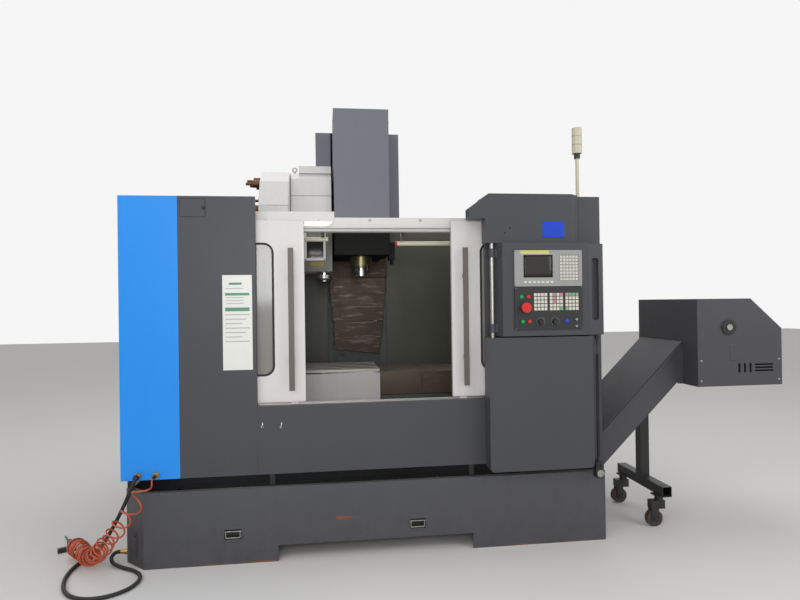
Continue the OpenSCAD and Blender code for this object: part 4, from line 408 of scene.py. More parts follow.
nodeFinishes = {
    "bed": ("casting", [("steel", [span((-0.33, 0.33), everyY, (0.5605, 0.70))]),
                        ("casting", [span((-0.10, 0.10), everyY, (0.4, 0.62))]),
                        ("darkPartAndShade", [span((-0.07, 0.07), (-0.60, -0.3305), (0.4, 0.70))])]),
    "levelling_feet": ("steel", []),
    "column": ("casting", [("steel", [span((-0.17, 0.17), (0.6, 0.7398), (1.0, 2.29))]),
                           ("casting", [span((-0.062, 0.062), (0.73, 0.9), (1.0, 2.29))]),
                           ("oldCover", [span((-0.25, 0.25), (0.6, 0.7398), (0.95, 1.17))]),
                           ("streak", [span((-0.25, 0.25), (0.6, 0.7398), (0.95, 1.17))], 0.54),
                           ("darkPartAndShade", [span(everyX, everyY, (2.3005, 2.9))])]),
    "column_cover": ("coverGrey", []),
    "coolant_tank": ("tankGrey", [("darkPartAndShade", [span((-0.82, -0.70), (-0.7245, -0.69), (0.10, 0.21)),
                                                span((0.18, 0.30), (-0.7245, -0.69), (0.10, 0.21))]),
                                  ("rust", [span((-0.21, -0.08), (-0.73, -0.72), (0.204, 0.221))], 0.44),
                                  ("rust", [span(everyX, everyY, (0.0, 0.008))], 0.55),
                                  ("brass", [span((-1.39, -1.3405), (-0.61, -0.56), (0.03, 0.07))])]),
    "corner_panel": ("panelBlue", [("brass", [span((-1.30, -1.10), (-0.75, -0.7005), (0.46, 0.52))])]),
    "left_panel": ("panelGrey", [("darkPartAndShade", [span((-0.912, -0.888), (-0.72, -0.7025), (1.90, 1.925))])]),
    # painted shade: below Z 0.464 the sill panel is painted near-black for the shade in the hollow behind the
    # coolant tank's lip
    "sill_panel": ("panelGrey", [("steel", [span(everyX, (-0.667, -0.653), (0.8145, 0.85))]),
                                 ("darkPartAndShade", [span(everyX, everyY, (0.30, 0.4638))])]),
    "right_pillar": ("panelGrey", [("buttonBlue", [span((0.96, 1.09), (-0.79, -0.7802), (1.74, 1.84))]),
                                   ("steel", [span((0.655, 0.69), (-0.775, -0.745), (1.1855, 1.7128))])]),
    "door_beam": ("doorWhite", [("steel", [span(everyX, (-0.66, -0.6322), (1.79, 1.85))]),
                                ("lampCream", [span((-0.52, 0.61), (-0.56, -0.50), (1.71, 1.775))]),
                                ("lampBlue", [span((-0.52, -0.485), (-0.56, -0.50), (1.71, 1.78))]),
                                ("stopRed", [span((-0.485, -0.480), (-0.56, -0.50), (1.71, 1.78)),
                                             span((0.15, 0.167), (-0.56, -0.50), (1.71, 1.78))]),
                                ("darkPartAndShade", [span((-0.48, -0.46), (-0.57, -0.50), (1.7705, 1.80)),
                                              span((-0.275, -0.255), (-0.57, -0.50), (1.7705, 1.80)),
                                              span((0.187, 0.207), (-0.57, -0.50), (1.7465, 1.80)),
                                              span((0.56, 0.58), (-0.57, -0.50), (1.7465, 1.80))])]),
    # painted shade: the front of the walls from Z 0.30 to 0.45 is painted near-black for the shade in the
    # hollow behind the coolant tank's lip
    "enclosure_walls": ("panelGrey", [("innerOlive", [span((-1.2005, 1.2005), (-0.53, 0.75), (0.44, 1.97))]),
                                     ("darkPartAndShade", [span(everyX, (-0.75, -0.5), (0.30, 0.4495))])]),
    "changer_housing": ("doorWhite", [("innerOlive", [span((-0.481, -0.20), (0.064, 0.0775), (1.60, 1.913))]),
                                      ("doorWhite", [span((-0.391, -0.245), (0.05, 0.0648), (1.67, 1.91))]),
                                      ("plateYellow", [span((-0.345, -0.262), (0.05, 0.0655), (1.640, 1.669))]),
                                      ("darkGlass", [span((-0.378, -0.258), (0.066, 0.0775), (1.69, 1.89))]),
                                      ("casting", [span((-0.41, -0.25), (0.4255, 1.0), (1.6, 1.95))]),
                                      ("steel", [span((-0.48, -0.42), (0.15, 0.22), (2.2755, 2.4))])]),
    "conveyor_channel": ("conveyorGrey", []),
    "conveyor_hood": ("conveyorGrey", [("darkPartAndShade", [span((1.95, 2.30), (-0.0895, 0.2), (0.9, 1.3)),
                                                     span((2.06, 2.16), (-0.78, -0.7505), (1.16, 1.27))])]),
    "conveyor_belt": ("steel", []),
    "conveyor_stand": ("darkPartAndShade", []),
    "conveyor_shaft": ("steel", []),
    "conveyor_wheels": ("wheelTread", []),
    "rear_cabinet": ("panelGrey", [("backPlate", [span((-0.62, 0.62), (1.4028, 1.4075), (0.45, 1.91))]),
                                   ("darkPartAndShade", [span((-0.60, 0.45), (1.4076, 1.62), (1.24, 1.63))]),
                                   ("faceGrey", [span((-0.60, 0.45), (1.4076, 1.52), (0.89, 1.01))])]),
    "cabinet_door": ("panelGrey", [("darkPartAndShade", [span((0.58, 0.63), (1.7602, 1.79), (1.14, 1.30))])]),
    "signal_tower": ("lampCream", [("darkPartAndShade", [span((1.2, 1.3), (-0.7, -0.5), (2.235, 2.265))])]),
    "blow_gun": ("darkPartAndShade", []),
    "saddle": ("casting", [("steel", [span((-0.79, 0.79), everyY, (0.7705, 0.81)),
                                      span(everyX, everyY, (0.56, 0.6039))]),
                           ("coverSteel", [span((-1.2, -0.7905), everyY, (0.70, 1.0)),
                                           span((0.7905, 1.2), everyY, (0.70, 1.0)),
                                           span((-0.39, 0.39), (-0.4, -0.0405), (0.6, 0.72))]),
                           ("darkPartAndShade", [span((-1.0, -0.7905), (0.12, 0.26), (0.72, 0.86))])]),
    "table": ("steel", []),
    "table_guard": ("doorWhite", [("stain", [span((-1.3, 0.1), everyY, (0.925, 1.2))], 0.40),
                                  ("coverSteel", [span((0.1, 0.5), everyY, (0.7, 1.0)),
                                                  span((-1.3, -0.9005), everyY, (0.7, 1.0))])]),
    "head": ("headDark", [("steel", [span(everyX, (0.694, 0.75), (1.7, 2.3))]),
                         ("headDark", [span((-0.06, 0.06), (0.69, 0.9), (1.7, 2.3))]),
                         ("oldCover", [span(everyX, (0.6, 0.75), (1.5, 1.7125))]),
                         ("streak", [span(everyX, (0.6, 0.75), (1.5, 1.7125))], 0.58),
                         ("darkPartAndShade", [span(everyX, everyY, (1.9605, 2.7)),
                                       span((0.1872, 0.24), (0.0, 0.2), (1.6, 1.82))])]),
    "head_cover": ("coverGrey", []),
    "spindle_cartridge": ("oldSpindle", [("darkPartAndShade", [span((0.02, 0.09), everyY, (1.56, 1.642)),
                                                   span((-0.09, -0.02), (0.05, 0.16), (1.56, 1.642))])]),
    "spindle_shaft": ("bright", []),
    "x_screw": ("bright", []), "y_screw": ("bright", []), "z_screw": ("bright", []),
    "x_cover_left_1": ("coverSteel", [("stain", [span(everyX, everyY, everyZ)], 0.46)]),
    "x_cover_left_2": ("coverSteel", [("stain", [span(everyX, everyY, everyZ)], 0.46)]),
    "x_cover_right_1": ("coverSteel", [("stain", [span(everyX, everyY, everyZ)], 0.46)]),
    "x_cover_right_2": ("coverSteel", [("stain", [span(everyX, everyY, everyZ)], 0.46)]),
    "z_cover_1": ("oldCover", [("streak", [span(everyX, everyY, everyZ)], 0.58)]),
    "z_cover_2": ("oldCover", [("streak", [span(everyX, everyY, everyZ)], 0.58)]),
    "z_cover_3": ("oldCover", [("streak", [span(everyX, everyY, everyZ)], 0.58)]),
    "z_cover_4": ("oldCover", [("streak", [span(everyX, everyY, everyZ)], 0.58)]),
    "left_door": ("doorWhite", [("gripSteel", [span(everyX, (-0.72, -0.7079), (0.90, 1.71))]),
                                ("handleSteel", [span((-0.56, -0.30), (-0.7078, -0.6703), (0.90, 1.71))]),
                                ("windowGlass", [span((-0.919, -0.521), (-0.6671, -0.6609), (0.975, 1.745))]),
                                ("darkPartAndShade", [span((-0.997, -0.963), (-0.667, -0.641), (1.81, 1.85)),
                                              span((-0.447, -0.413), (-0.667, -0.641), (1.81, 1.85))])]),
    "right_door": ("doorWhite", [("gripSteel", [span(everyX, (-0.72, -0.7079), (0.90, 1.71))]),
                                 ("handleSteel", [span((0.40, 0.62), (-0.7078, -0.6703), (0.90, 1.71))]),
                                 ("windowGlass", [span((0.613, 1.009), (-0.6671, -0.6609), (0.975, 1.745))]),
                                 ("darkPartAndShade", [span((0.504, 0.538), (-0.667, -0.641), (1.81, 1.85)),
                                               span((1.054, 1.088), (-0.667, -0.641), (1.81, 1.85))])]),
    "magazine_drum": ("steel", [("toolBrown", [span((-0.80, -0.642), everyY, everyZ)])]),
    "change_pot": ("darkPartAndShade", []),
    "arm_shaft": ("bright", []), "change_arm": ("steel", []),
    "control_box": ("panelGrey", [("darkPartAndShade", [span((1.25, 1.30), (-0.81, -0.75), (1.16, 1.1918))])]),
    "control_face": ("faceGrey", [("faceDark", [span(everyX, (-0.8181, -0.809), (1.2268, 1.4652))]),
                                  ("keyCream", [span((0.890, 1.160), (-0.83, -0.81815), (1.33, 1.44)),
                                                span((0.83, 1.01), (-0.83, -0.81815), (1.486, 1.498))]),
                                  ("keyPink", [span((1.006, 1.024), (-0.83, -0.81815), (1.37, 1.44)),
                                               span((1.04, 1.09), (-0.83, -0.81815), (1.415, 1.44))]),
                                  ("keyGreen", [span((1.095, 1.160), (-0.83, -0.81815), (1.415, 1.44)),
                                                span((1.04, 1.09), (-0.83, -0.81815), (1.33, 1.352))]),
                                  ("darkGlass", [span((0.837, 1.005), (-0.8165, -0.80), (1.518, 1.642))]),
                                  ("faceDark", [span((1.035, 1.165), (-0.8150, -0.80), (1.49, 1.65))]),
                                  ("keyCream", [span((1.043, 1.157), (-0.8175, -0.8151), (1.496, 1.643))]),
                                  ("paleYellow", [span((0.820, 0.985), (-0.8185, -0.817), (1.648, 1.668))]),
                                  ("startGreen", [span((0.811, 0.833), (-0.83, -0.81815), (1.40, 1.422))]),
                                  ("stopRed", [span((0.851, 0.873), (-0.83, -0.81815), (1.40, 1.422))]),
                                  ("buttonBlue", [span((1.070, 1.094), (-0.85, -0.81815), (1.262, 1.288))]),
                                  ("steel", [span((1.129, 1.147), (-0.87, -0.81815), (1.25, 1.33))])]),
    "emergency_stop": ("stopRed", [("yellow", [span(everyX, (-0.832, -0.80), everyZ)])]),
    "start_button": ("startGreen", []), "stop_button": ("stopRed", []),
    "mode_knob": ("darkPartAndShade", []), "feed_knob": ("darkPartAndShade", []),
    "pendant": ("darkPartAndShade", []), "pendant_wheel": ("steel", []), "pendant_cord": ("rubber", []),
    "air_hose": ("orangeHose", []), "coolant_hose": ("rubber", []),
    "left_pull": ("steel", []), "right_pull": ("steel", []),
}
grimeTops = {"coolant_tank": 0.42, "corner_panel": 0.7, "left_panel": 0.9, "sill_panel": 0.9,
             "right_pillar": 0.8, "enclosure_walls": 1.3, "bed": 0.9, "levelling_feet": 0.3,
             "conveyor_channel": 0.8, "table": 1.3, "saddle": 1.1, "table_guard": 1.2}

for nodeName, (base, layers) in nodeFinishes.items():
    dress(nodeName, finishMaterial(nodeName + "Finish", base, layers, grimeTops.get(nodeName, 0.6)))
print("solids dressed")

# Lines and tubes

def smoothLine(points, spacing):
    # a Catmull-Rom line through the points, cut into equal steps
    p = np.array(points, float)
    ends = np.vstack([2 * p[0] - p[1], p, 2 * p[-1] - p[-2]])
    t = np.linspace(0, 1, 24, endpoint=False)[None, :, None]
    a, b, c, d = (ends[k:len(ends) - 3 + k, None, :] for k in range(4))
    fine = 0.5 * (2 * b + (c - a) * t + (2 * a - 5 * b + 4 * c - d) * t ** 2
                  + (3 * b - a - 3 * c + d) * t ** 3)
    fine = np.vstack([fine.reshape(-1, 3), p[-1:]])
    run = np.concatenate([[0], np.cumsum(np.linalg.norm(np.diff(fine, axis=0), axis=1))])
    marks = np.linspace(0, run[-1], max(2, int(round(run[-1] / spacing)) + 1))
    return np.stack([np.interp(marks, run, fine[:, k]) for k in range(3)], axis=1)

def framesAlong(line):
    # two directions square to the line at each point, carried along without twist
    tangent = np.gradient(line, axis=0)
    tangent /= np.linalg.norm(tangent, axis=1)[:, None]
    side = np.cross(tangent[0], (0.0, 0.0, 1.0) if abs(tangent[0][2]) < 0.9 else (1.0, 0.0, 0.0))
    sides = np.empty_like(line)
    for i, forward in enumerate(tangent):
        side = side - forward * np.dot(side, forward)
        side /= np.linalg.norm(side)
        sides[i] = side
    return sides, np.cross(tangent, sides)

def gatheredLine(points, turns, pointsPerTurn, gather):
    # a smooth line sampled evenly in turns; after the share s of its run, the share
    # (1 - gather) * s + gather * s ** 3 of the turns is made, so that they crowd together at its end
    fine = smoothLine(points, 0.002)
    s = np.linspace(0, 1, len(fine))
    law = (1 - gather) * s + gather * s ** 3
    marks = np.interp(np.linspace(0, 1, turns * pointsPerTurn + 1), law, s)
    return np.stack([np.interp(marks, s, fine[:, k]) for k in range(3)], axis=1)

def coilAlong(line, radius, turns, fadeTurns, wobble=0.0):
    # a helix about the line, whose radius grows from nothing over fadeTurns at each end, and wobbles
    # by two sines of the turn
    sides, others = framesAlong(line)
    turn = np.linspace(0, turns, len(line))
    grow = np.clip(np.minimum(turn / fadeTurns, (turns - turn) / fadeTurns), 0, 1)
    loose = 1 + wobble * (np.sin(2.3 * turn) + 0.6 * np.sin(0.9 * turn + 1))
    grow = (radius * loose * grow * grow * (3 - 2 * grow))[:, None]
    angle = (2 * np.pi * turn)[:, None]
    return line + grow * (np.cos(angle) * sides + np.sin(angle) * others)

def addCord(name, points, diameter, body, material):
    curve = bpy.data.curves.new(name, "CURVE")
    curve.dimensions = "3D"
    spline = curve.splines.new("POLY")
    spline.points.add(len(points) - 1)
    spline.points.foreach_set("co", np.column_stack([points, np.ones(len(points))]).ravel())
    curve.bevel_depth = diameter / 2
    curve.bevel_resolution = 3
    curve.use_fill_caps = True
    curve.materials.append(material)
    piece = bpy.data.objects.new(name, curve)
    bpy.context.scene.collection.objects.link(piece)
    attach(piece, body)
    return piece

# Hoses on the floor at the left front corner, and the pendant's curly cord

airHoseValues = {
    "route": [(-1.160, -0.734, 0.488), (-1.160, -0.764, 0.488), (-1.170, -0.798, 0.470),
              (-1.192, -0.822, 0.436), (-1.225, -0.834, 0.388), (-1.268, -0.836, 0.326),
              (-1.316, -0.828, 0.262), (-1.364, -0.810, 0.200), (-1.410, -0.784, 0.146),
              (-1.452, -0.748, 0.104), (-1.490, -0.704, 0.079), (-1.528, -0.657, 0.070),
              (-1.566, -0.609, 0.070), (-1.602, -0.561, 0.070), (-1.634, -0.512, 0.060),
              (-1.655, -0.470, 0.050)],
    "tail": [(-1.668, -0.448, 0.038), (-1.680, -0.426, 0.022), (-1.690, -0.406, 0.013),
             (-1.696, -0.396, 0.013)],
    "coilRadius": 0.040, "diameter": 0.009, "turns": 32, "pointsPerTurn": 18, "gather": 0.84, "wobble": 0.11,
}
coolantHoseValues = {
    "route": [(-1.252, -0.734, 0.488), (-1.252, -0.746, 0.488), (-1.260, -0.756, 0.462),
              (-1.280, -0.756, 0.416), (-1.308, -0.742, 0.356), (-1.356, -0.706, 0.270),
              (-1.408, -0.660, 0.185), (-1.458, -0.614, 0.112), (-1.504, -0.577, 0.056),
              (-1.544, -0.561, 0.022), (-1.574, -0.580, 0.011), (-1.590, -0.640, 0.011),
              (-1.592, -0.730, 0.011), (-1.574, -0.830, 0.011), (-1.532, -0.930, 0.011),
              (-1.468, -1.002, 0.011), (-1.384, -1.034, 0.011), (-1.298, -1.018, 0.011),
              (-1.232, -0.962, 0.011), (-1.204, -0.886, 0.011), (-1.216, -0.812, 0.011),
              (-1.262, -0.752, 0.011), (-1.330, -0.706, 0.012), (-1.392, -0.664, 0.020),
              (-1.416, -0.624, 0.036), (-1.408, -0.594, 0.048), (-1.392, -0.585, 0.050),
              (-1.380, -0.585, 0.050)],
    "diameter": 0.020, "spacing": 0.012,
}
pendantCordValues = {
    "x": 1.273, "y": -0.785, "exitZ": 1.166, "curlTop": 1.082, "reliefTop": 0.494,
    "coilRadius": 0.0072, "diameter": 0.0035, "turns": 118, "pointsPerTurn": 12,
}

def addAirHose(v):
    line = gatheredLine(v["route"], v["turns"], v["pointsPerTurn"], v["gather"])
    coil = coilAlong(line, v["coilRadius"], v["turns"], 1.0, v["wobble"])
    tail = smoothLine([v["route"][-1], *v["tail"]], 0.012)[1:]
    points = np.vstack([coil, tail])
    material = finishMaterial("airHoseFinish", "orangeHose")
    piece = addCord("airHoseCoil", points, v["diameter"], "frame", material)
    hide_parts("air_hose")

def addCoolantHose(v):
    points = smoothLine(v["route"], v["spacing"])
    material = finishMaterial("coolantHoseFinish", "rubber")
    piece = addCord("coolantHoseLoop", points, v["diameter"], "frame", material)
    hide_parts("coolant_hose")

def addPendantCord(v):
    down = smoothLine([(v["x"], v["y"], v["exitZ"]), (v["x"], v["y"], v["curlTop"])], 0.012)
    steps = v["turns"] * v["pointsPerTurn"] + 1
    line = np.column_stack([np.full(steps, v["x"]), np.full(steps, v["y"]),
                            np.linspace(v["curlTop"], v["reliefTop"], steps)])
    points = np.vstack([down[:-1], coilAlong(line, v["coilRadius"], v["turns"], 1.5)])
    material = finishMaterial("pendantCurlFinish", "rubber")
    piece = addCord("pendantCurl", points, v["diameter"], "station", material)
    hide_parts("pendant_cord")

addAirHose(airHoseValues)
addCoolantHose(coolantHoseValues)
addPendantCord(pendantCordValues)
print("cords laid")

# Small pieces worked out as grids

def addPiece(name, vertices, faces, body, material, smooth=True):
    # a closed piece; its faces are turned round if the volume inside comes out negative
    vertices = np.asarray(vertices, float)
    corners = [vertices[[face[k] for face in faces]] for k in range(3)]
    if np.einsum("ij,ij->", corners[0], np.cross(corners[1], corners[2])) < 0:
        faces = [face[::-1] for face in faces]
    mesh = bpy.data.meshes.new(name)
    mesh.from_pydata(vertices.tolist(), [], faces)
    mesh.polygons.foreach_set("use_smooth", [smooth] * len(mesh.polygons))
    mesh.materials.append(material)
    piece = bpy.data.objects.new(name, mesh)
    bpy.context.scene.collection.objects.link(piece)
    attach(piece, body)
    return piece

def loopFaces(rows, columns):
    # quads between neighbours of a rows x columns grid that closes on itself both ways
    i, j = (a.ravel() for a in np.meshgrid(np.arange(rows), np.arange(columns), indexing="ij"))
    nextI, nextJ = (i + 1) % rows, (j + 1) % columns
    corners = [i * columns + j, i * columns + nextJ, nextI * columns + nextJ, nextI * columns + j]
    return np.stack(corners, axis=1).tolist()

def slabs(centres, across, upwards, outwards):
    # equal small slabs: centre plus or minus half of three edge vectors, worked out for all centres at once
    signs = np.array([(a, b, c) for a in (-1, 1) for b in (-1, 1) for c in (-1, 1)], float) / 2
    corners = signs @ np.array([across, upwards, outwards])
    vertices = (np.asarray(centres)[:, None, :] + corners[None]).reshape(-1, 3)
    sides = [(0, 1, 3, 2), (4, 6, 7, 5), (0, 4, 5, 1), (2, 3, 7, 6), (0, 2, 6, 4), (1, 5, 7, 3)]
    return vertices, [tuple(8 * n + k for k in side) for n in range(len(centres)) for side in sides]

def caps(centres, outward, radius, height, rings=4, around=14):
    # domed heads: radius * cos(t) across and height * sin(t) outwards, t from 0 to 90 degrees, closed below
    n = np.array(outward, float)
    u = np.cross(n, (0.0, 0.0, 1.0) if abs(n[2]) < 0.9 else (1.0, 0.0, 0.0))
    u /= np.linalg.norm(u)
    v = np.cross(n, u)
    t = np.linspace(0, np.pi / 2, rings, endpoint=False)
    a = np.linspace(0, 2 * np.pi, around, endpoint=False)
    across = radius * np.cos(t)[:, None, None] * (np.cos(a)[None, :, None] * u + np.sin(a)[None, :, None] * v)
    shell = (across + height * np.sin(t)[:, None, None] * n).reshape(-1, 3)
    one = np.vstack([shell, height * n, 0 * n])
    faces = [tuple(face) for face in loopFaces(rings, around)[:(rings - 1) * around]]
    top = (rings - 1) * around
    faces += [(top + k, top + (k + 1) % around, rings * around) for k in range(around)]
    faces += [((k + 1) % around, k, rings * around + 1) for k in range(around)]
    vertices = (np.asarray(centres, float)[:, None, :] + one[None]).reshape(-1, 3)
    return vertices, [tuple(len(one) * m + k for k in face) for m in range(len(centres)) for face in faces]

def roundedLoop(x, z, radius, perCorner):
    # a rectangle with round corners in X and Z, anticlockwise seen from the front
    angles = np.linspace(0, np.pi / 2, perCorner)
    loop = []
    for centre, start in (((x[1] - radius, z[1] - radius), 0.0), ((x[0] + radius, z[1] - radius), 0.5),
                          ((x[0] + radius, z[0] + radius), 1.0), ((x[1] - radius, z[0] + radius), 1.5)):
        turn = angles + start * np.pi
        loop.append(np.column_stack([centre[0] + radius * np.cos(turn), centre[1] + radius * np.sin(turn)]))
    return np.vstack(loop)

def loopBead(loop, y, profile):
    # a profile of (outwards, forwards) points carried round a closed loop in the plane y
    tangent = np.roll(loop, -1, axis=0) - np.roll(loop, 1, axis=0)
    tangent /= np.linalg.norm(tangent, axis=1)[:, None]
    normal = np.column_stack([tangent[:, 1], -tangent[:, 0]])
    p = np.array(profile)
    flat = loop[:, None, :] + normal[:, None, :] * p[None, :, 0, None]
    forward = np.broadcast_to(y - p[None, :, 1], flat.shape[:2])
    vertices = np.stack([flat[..., 0], forward, flat[..., 1]], axis=-1).reshape(-1, 3)
    return vertices, loopFaces(len(loop), len(p))

# Window seals of the doors, pressed into the round cut-outs

sealValues = {"windowZ": (0.998, 1.722), "leftX": (-0.900, -0.540), "rightX": (0.631, 0.991), "corner": 0.052,
              "face": -0.670, "profile": [(-0.006, -0.002), (-0.006, 0.002), (-0.003, 0.0035), (0.003, 0.0035),
                                          (0.005, 0.0005), (0.005, 0.0), (0.0, 0.0), (0.0, -0.002)]}

def addSeals(v):
    material = finishMaterial("windowSealFinish", "rubber")
    for name, x, body in (("leftWindowSeal", v["leftX"], "left_leaf"),
                          ("rightWindowSeal", v["rightX"], "right_leaf")):
        vertices, faces = loopBead(roundedLoop(x, v["windowZ"], v["corner"], 14), v["face"], v["profile"])
        addPiece(name, vertices, faces, body, material)

addSeals(sealValues)

# Bare notice sheet on the left panel, with plain bands where print would be

noticeValues = {"x": (-0.807, -0.650), "z": (1.035, 1.549), "face": -0.7006, "ripple": 0.0004,
                "thickness": 0.0005, "columns": 14, "rows": 40}

def addNotice(v):
    # a grid that stands off its panel by ripple * (1 + 0.6 * sin(9 * w + 2 * u) + 0.4 * sin(5 * u)),
    # with u across and w up, both from 0 to 1
    across, up = v["columns"], v["rows"]
    u, w = np.meshgrid(np.linspace(0, 1, across), np.linspace(0, 1, up), indexing="ij")
    x = v["x"][0] + u * (v["x"][1] - v["x"][0])
    z = v["z"][0] + w * (v["z"][1] - v["z"][0])
    y = v["face"] - v["ripple"] * (1 + 0.6 * np.sin(9 * w + 2 * u) + 0.4 * np.sin(5 * u))
    front = np.stack([x, y, z], axis=-1).reshape(-1, 3)
    index = np.arange(across * up).reshape(across, up)
    quads = np.stack([index[:-1, :-1], index[1:, :-1], index[1:, 1:], index[:-1, 1:]], axis=-1).reshape(-1, 4)
    mesh = bpy.data.meshes.new("noticeSheet")
    mesh.from_pydata(front.tolist(), [], quads.tolist())
    wide, tall = (v["x"][0] + 0.014, v["x"][1] - 0.014), (-0.71, -0.69)
    rows = [span((wide[0], wide[1] - 0.02 * (k % 3)), tall, (1.331 - 0.024 * k, 1.337 - 0.024 * k))
            for k in range(7)]
    rows += [span((wide[0] + 0.004, wide[1] - 0.03), tall, (z, z + 0.005))
             for z in (1.392, 1.408, 1.424, 1.474)]
    bands = [span(wide, tall, (1.438, 1.452)), span(wide, tall, (1.353, 1.373)),
             span((wide[0] + 0.02, wide[1] - 0.04), tall, (1.496, 1.508))]
    printed = [("rowGrey", rows), ("bandGreen", bands)]
    mesh.materials.append(finishMaterial("noticeFinish", "sheetWhite", printed))
    piece = bpy.data.objects.new("noticeSheet", mesh)
    bpy.context.scene.collection.objects.link(piece)
    thick = piece.modifiers.new("thickness", "SOLIDIFY")
    thick.thickness = v["thickness"]
    thick.offset = -1.0
    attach(piece, "frame")

addNotice(noticeValues)

# Screen glass, dial marks and screws of the operator station

stationValues = {"face": -0.818, "screenX": (0.8375, 1.0045), "screenZ": (1.5185, 1.6415),
                 "screenBack": -0.8148, "screenColumns": 22, "screenRows": 18,
                 "knobs": ((0.931, 1.271), (1.015, 1.271)), "tickRadius": 0.0235, "ticks": 17,
                 "screws": [(0.790, 1.474), (1.170, 1.474), (0.790, 1.664), (1.170, 1.664), (0.790, 1.233),
                            (1.170, 1.233), (0.790, 1.459), (1.170, 1.459)]}

def addScreen(v):
    # a shallow dome of glass: depth falls off with the fourth power towards the rim, closed by its flat back
    across, up = v["screenColumns"], v["screenRows"]
    u, w = np.meshgrid(np.linspace(-1, 1, across), np.linspace(-1, 1, up), indexing="ij")
    x = (v["screenX"][0] + v["screenX"][1]) / 2 + u * (v["screenX"][1] - v["screenX"][0]) / 2
    z = (v["screenZ"][0] + v["screenZ"][1]) / 2 + w * (v["screenZ"][1] - v["screenZ"][0]) / 2
    y = v["screenBack"] - 0.0022 * (1 - u ** 4) * (1 - w ** 4) - 0.0003
    vertices = np.vstack([np.stack([x, y, z], axis=-1).reshape(-1, 3),
                          np.stack([x, np.full_like(y, v["screenBack"]), z], axis=-1).reshape(-1, 3)])
    count = across * up
    index = np.arange(count).reshape(across, up)
    front = np.stack([index[:-1, :-1], index[1:, :-1], index[1:, 1:], index[:-1, 1:]], axis=-1).reshape(-1, 4)
    rim = np.concatenate([index[:-1, 0], index[-1, :-1], index[:0:-1, -1], index[0, :0:-1]])
    around = np.stack([rim, rim + count, np.roll(rim, -1) + count, np.roll(rim, -1)], axis=1)
    faces = front.tolist() + (front[:, ::-1] + count).tolist() + around.tolist()
    material = finishMaterial("screenGlassFinish", "darkGlass")
    addPiece("screenGlass", vertices, faces, "station", material)

def addDialMarks(v):
    material = finishMaterial("dialMarkFinish", "keyCream")
    angles = np.radians(np.linspace(-135, 135, v["ticks"]))
    vertices, faces = [], []
    for x, z in v["knobs"]:
        for angle in angles:
            out = np.array([math.sin(angle), 0.0, math.cos(angle)])
            side = np.array([out[2], 0.0, -out[0]])
            centre = np.array([x, v["face"] - 0.0003, z]) + v["tickRadius"] * out
            corners, sides = slabs([centre], 0.0011 * side, 0.0042 * out, (0, -0.0006, 0))
            faces += [tuple(k + 8 * len(vertices) for k in face) for face in sides]
            vertices.append(corners)
    addPiece("dialMarks", np.vstack(vertices), faces, "station", material, smooth=False)

addScreen(stationValues)
addDialMarks(stationValues)

# Screws that hold the sheets, each a domed head on its sheet

screwValues = {
    "stationScrews": ("station", (0, -1, 0), 0.0032, 0.0016,
                      [(x, stationValues["face"], z) for x, z in stationValues["screws"]]),
    "hoodScrews": ("frame", (0, -1, 0), 0.007, 0.0035,
                   [(x, -0.750, z) for x in (1.935, 2.435) for z in (0.90, 1.02)]),
    "beamScrews": ("frame", (0, -1, 0), 0.008, 0.004,
                   [(x, -0.632, 1.858) for x in np.arange(-0.58, 0.62, 0.29)]),
    "changerScrews": ("frame", (0, -1, 0), 0.006, 0.003,
                      [(x, 0.059, z) for x in (-0.382, -0.254) for z in (1.686, 1.894)]),
    "cabinetScrews": ("rear_door", (0, 1, 0), 0.007, 0.0035,
                      [(x, 1.7599, z) for x in (-0.60, 0.60) for z in (0.50, 1.20, 1.90)]),
}

def addScrews(values):
    material = finishMaterial("screwFinish", "steel")
    for name, (body, outward, radius, height, places) in values.items():
        vertices, faces = caps(places, outward, radius, height)
        addPiece(name, vertices, faces, body, material)

addScrews(screwValues)

# Ribbed sleeves where the cords leave, and the two latches in the sill

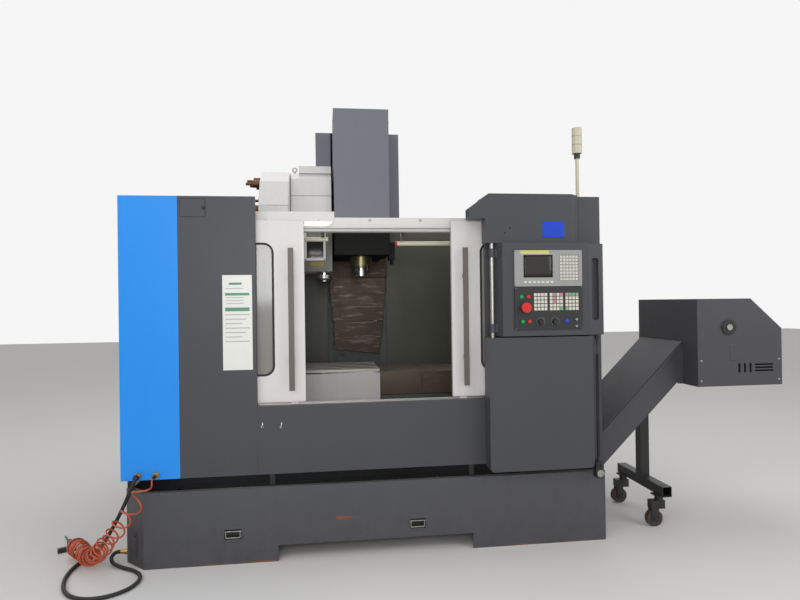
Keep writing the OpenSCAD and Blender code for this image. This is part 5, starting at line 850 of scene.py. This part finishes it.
reliefValues = {
    "airRelief": ("frame", (-1.160, -0.733, 0.488), (0, -1, 0), 0.0105, 0.0062, 0.030),
    "coolantRelief": ("frame", (-1.252, -0.733, 0.488), (0, -1, 0), 0.0150, 0.0112, 0.022),
    "pendantRelief": ("station", (1.273, -0.785, 1.167), (0, 0, -1), 0.0065, 0.0026, 0.034),
}

def addReliefs(values, rings=41, around=20):
    # radius from the wide end to the narrow one, plus a fine cosine for the ribs, turned about the cord
    material = finishMaterial("reliefFinish", "rubber")
    for name, (body, start, along, wide, narrow, length) in values.items():
        n = np.array(along, float)
        u = np.cross(n, (0.0, 0.0, 1.0) if abs(n[2]) < 0.9 else (1.0, 0.0, 0.0))
        w = np.cross(n, u)
        t = np.linspace(0, 1, rings)
        a = np.linspace(0, 2 * np.pi, around, endpoint=False)
        radius = wide + (narrow - wide) * t + 0.0005 * np.cos(12 * np.pi * t) * (1 - t)
        shell = (np.array(start) + (t * length)[:, None, None] * n
                 + radius[:, None, None] * (np.cos(a)[None, :, None] * u + np.sin(a)[None, :, None] * w))
        vertices = np.vstack([shell.reshape(-1, 3), [start], [np.array(start) + length * n]])
        last = rings * around
        faces = [tuple(face) for face in loopFaces(rings, around)[:last - around]]
        faces += [((k + 1) % around, k, last) for k in range(around)]
        faces += [(last - around + k, last - around + (k + 1) % around, last + 1) for k in range(around)]
        addPiece(name, vertices, faces, body, material)

latchValues = {"places": [(-0.606, 0.722), (-0.505, 0.718)], "face": -0.6999, "head": 0.0085,
               "blade": (0.007, 0.030)}

def addLatches(v):
    heads, headFaces = caps([(x, v["face"], z) for x, z in v["places"]], (0, -1, 0), v["head"], 0.006)
    blades, bladeFaces = slabs([(x + 0.003, v["face"] - 0.0065, z + 0.012) for x, z in v["places"]],
                               (v["blade"][0], 0, 0.0015), (0.003, 0, v["blade"][1]), (0, 0.0025, 0))
    faces = headFaces + [tuple(k + len(heads) for k in face) for face in bladeFaces]
    material = finishMaterial("latchFinish", "bright")
    addPiece("sillLatches", np.vstack([heads, blades]), faces, "frame", material)

addReliefs(reliefValues)
addLatches(latchValues)
print("small pieces made")

print("pieces done")
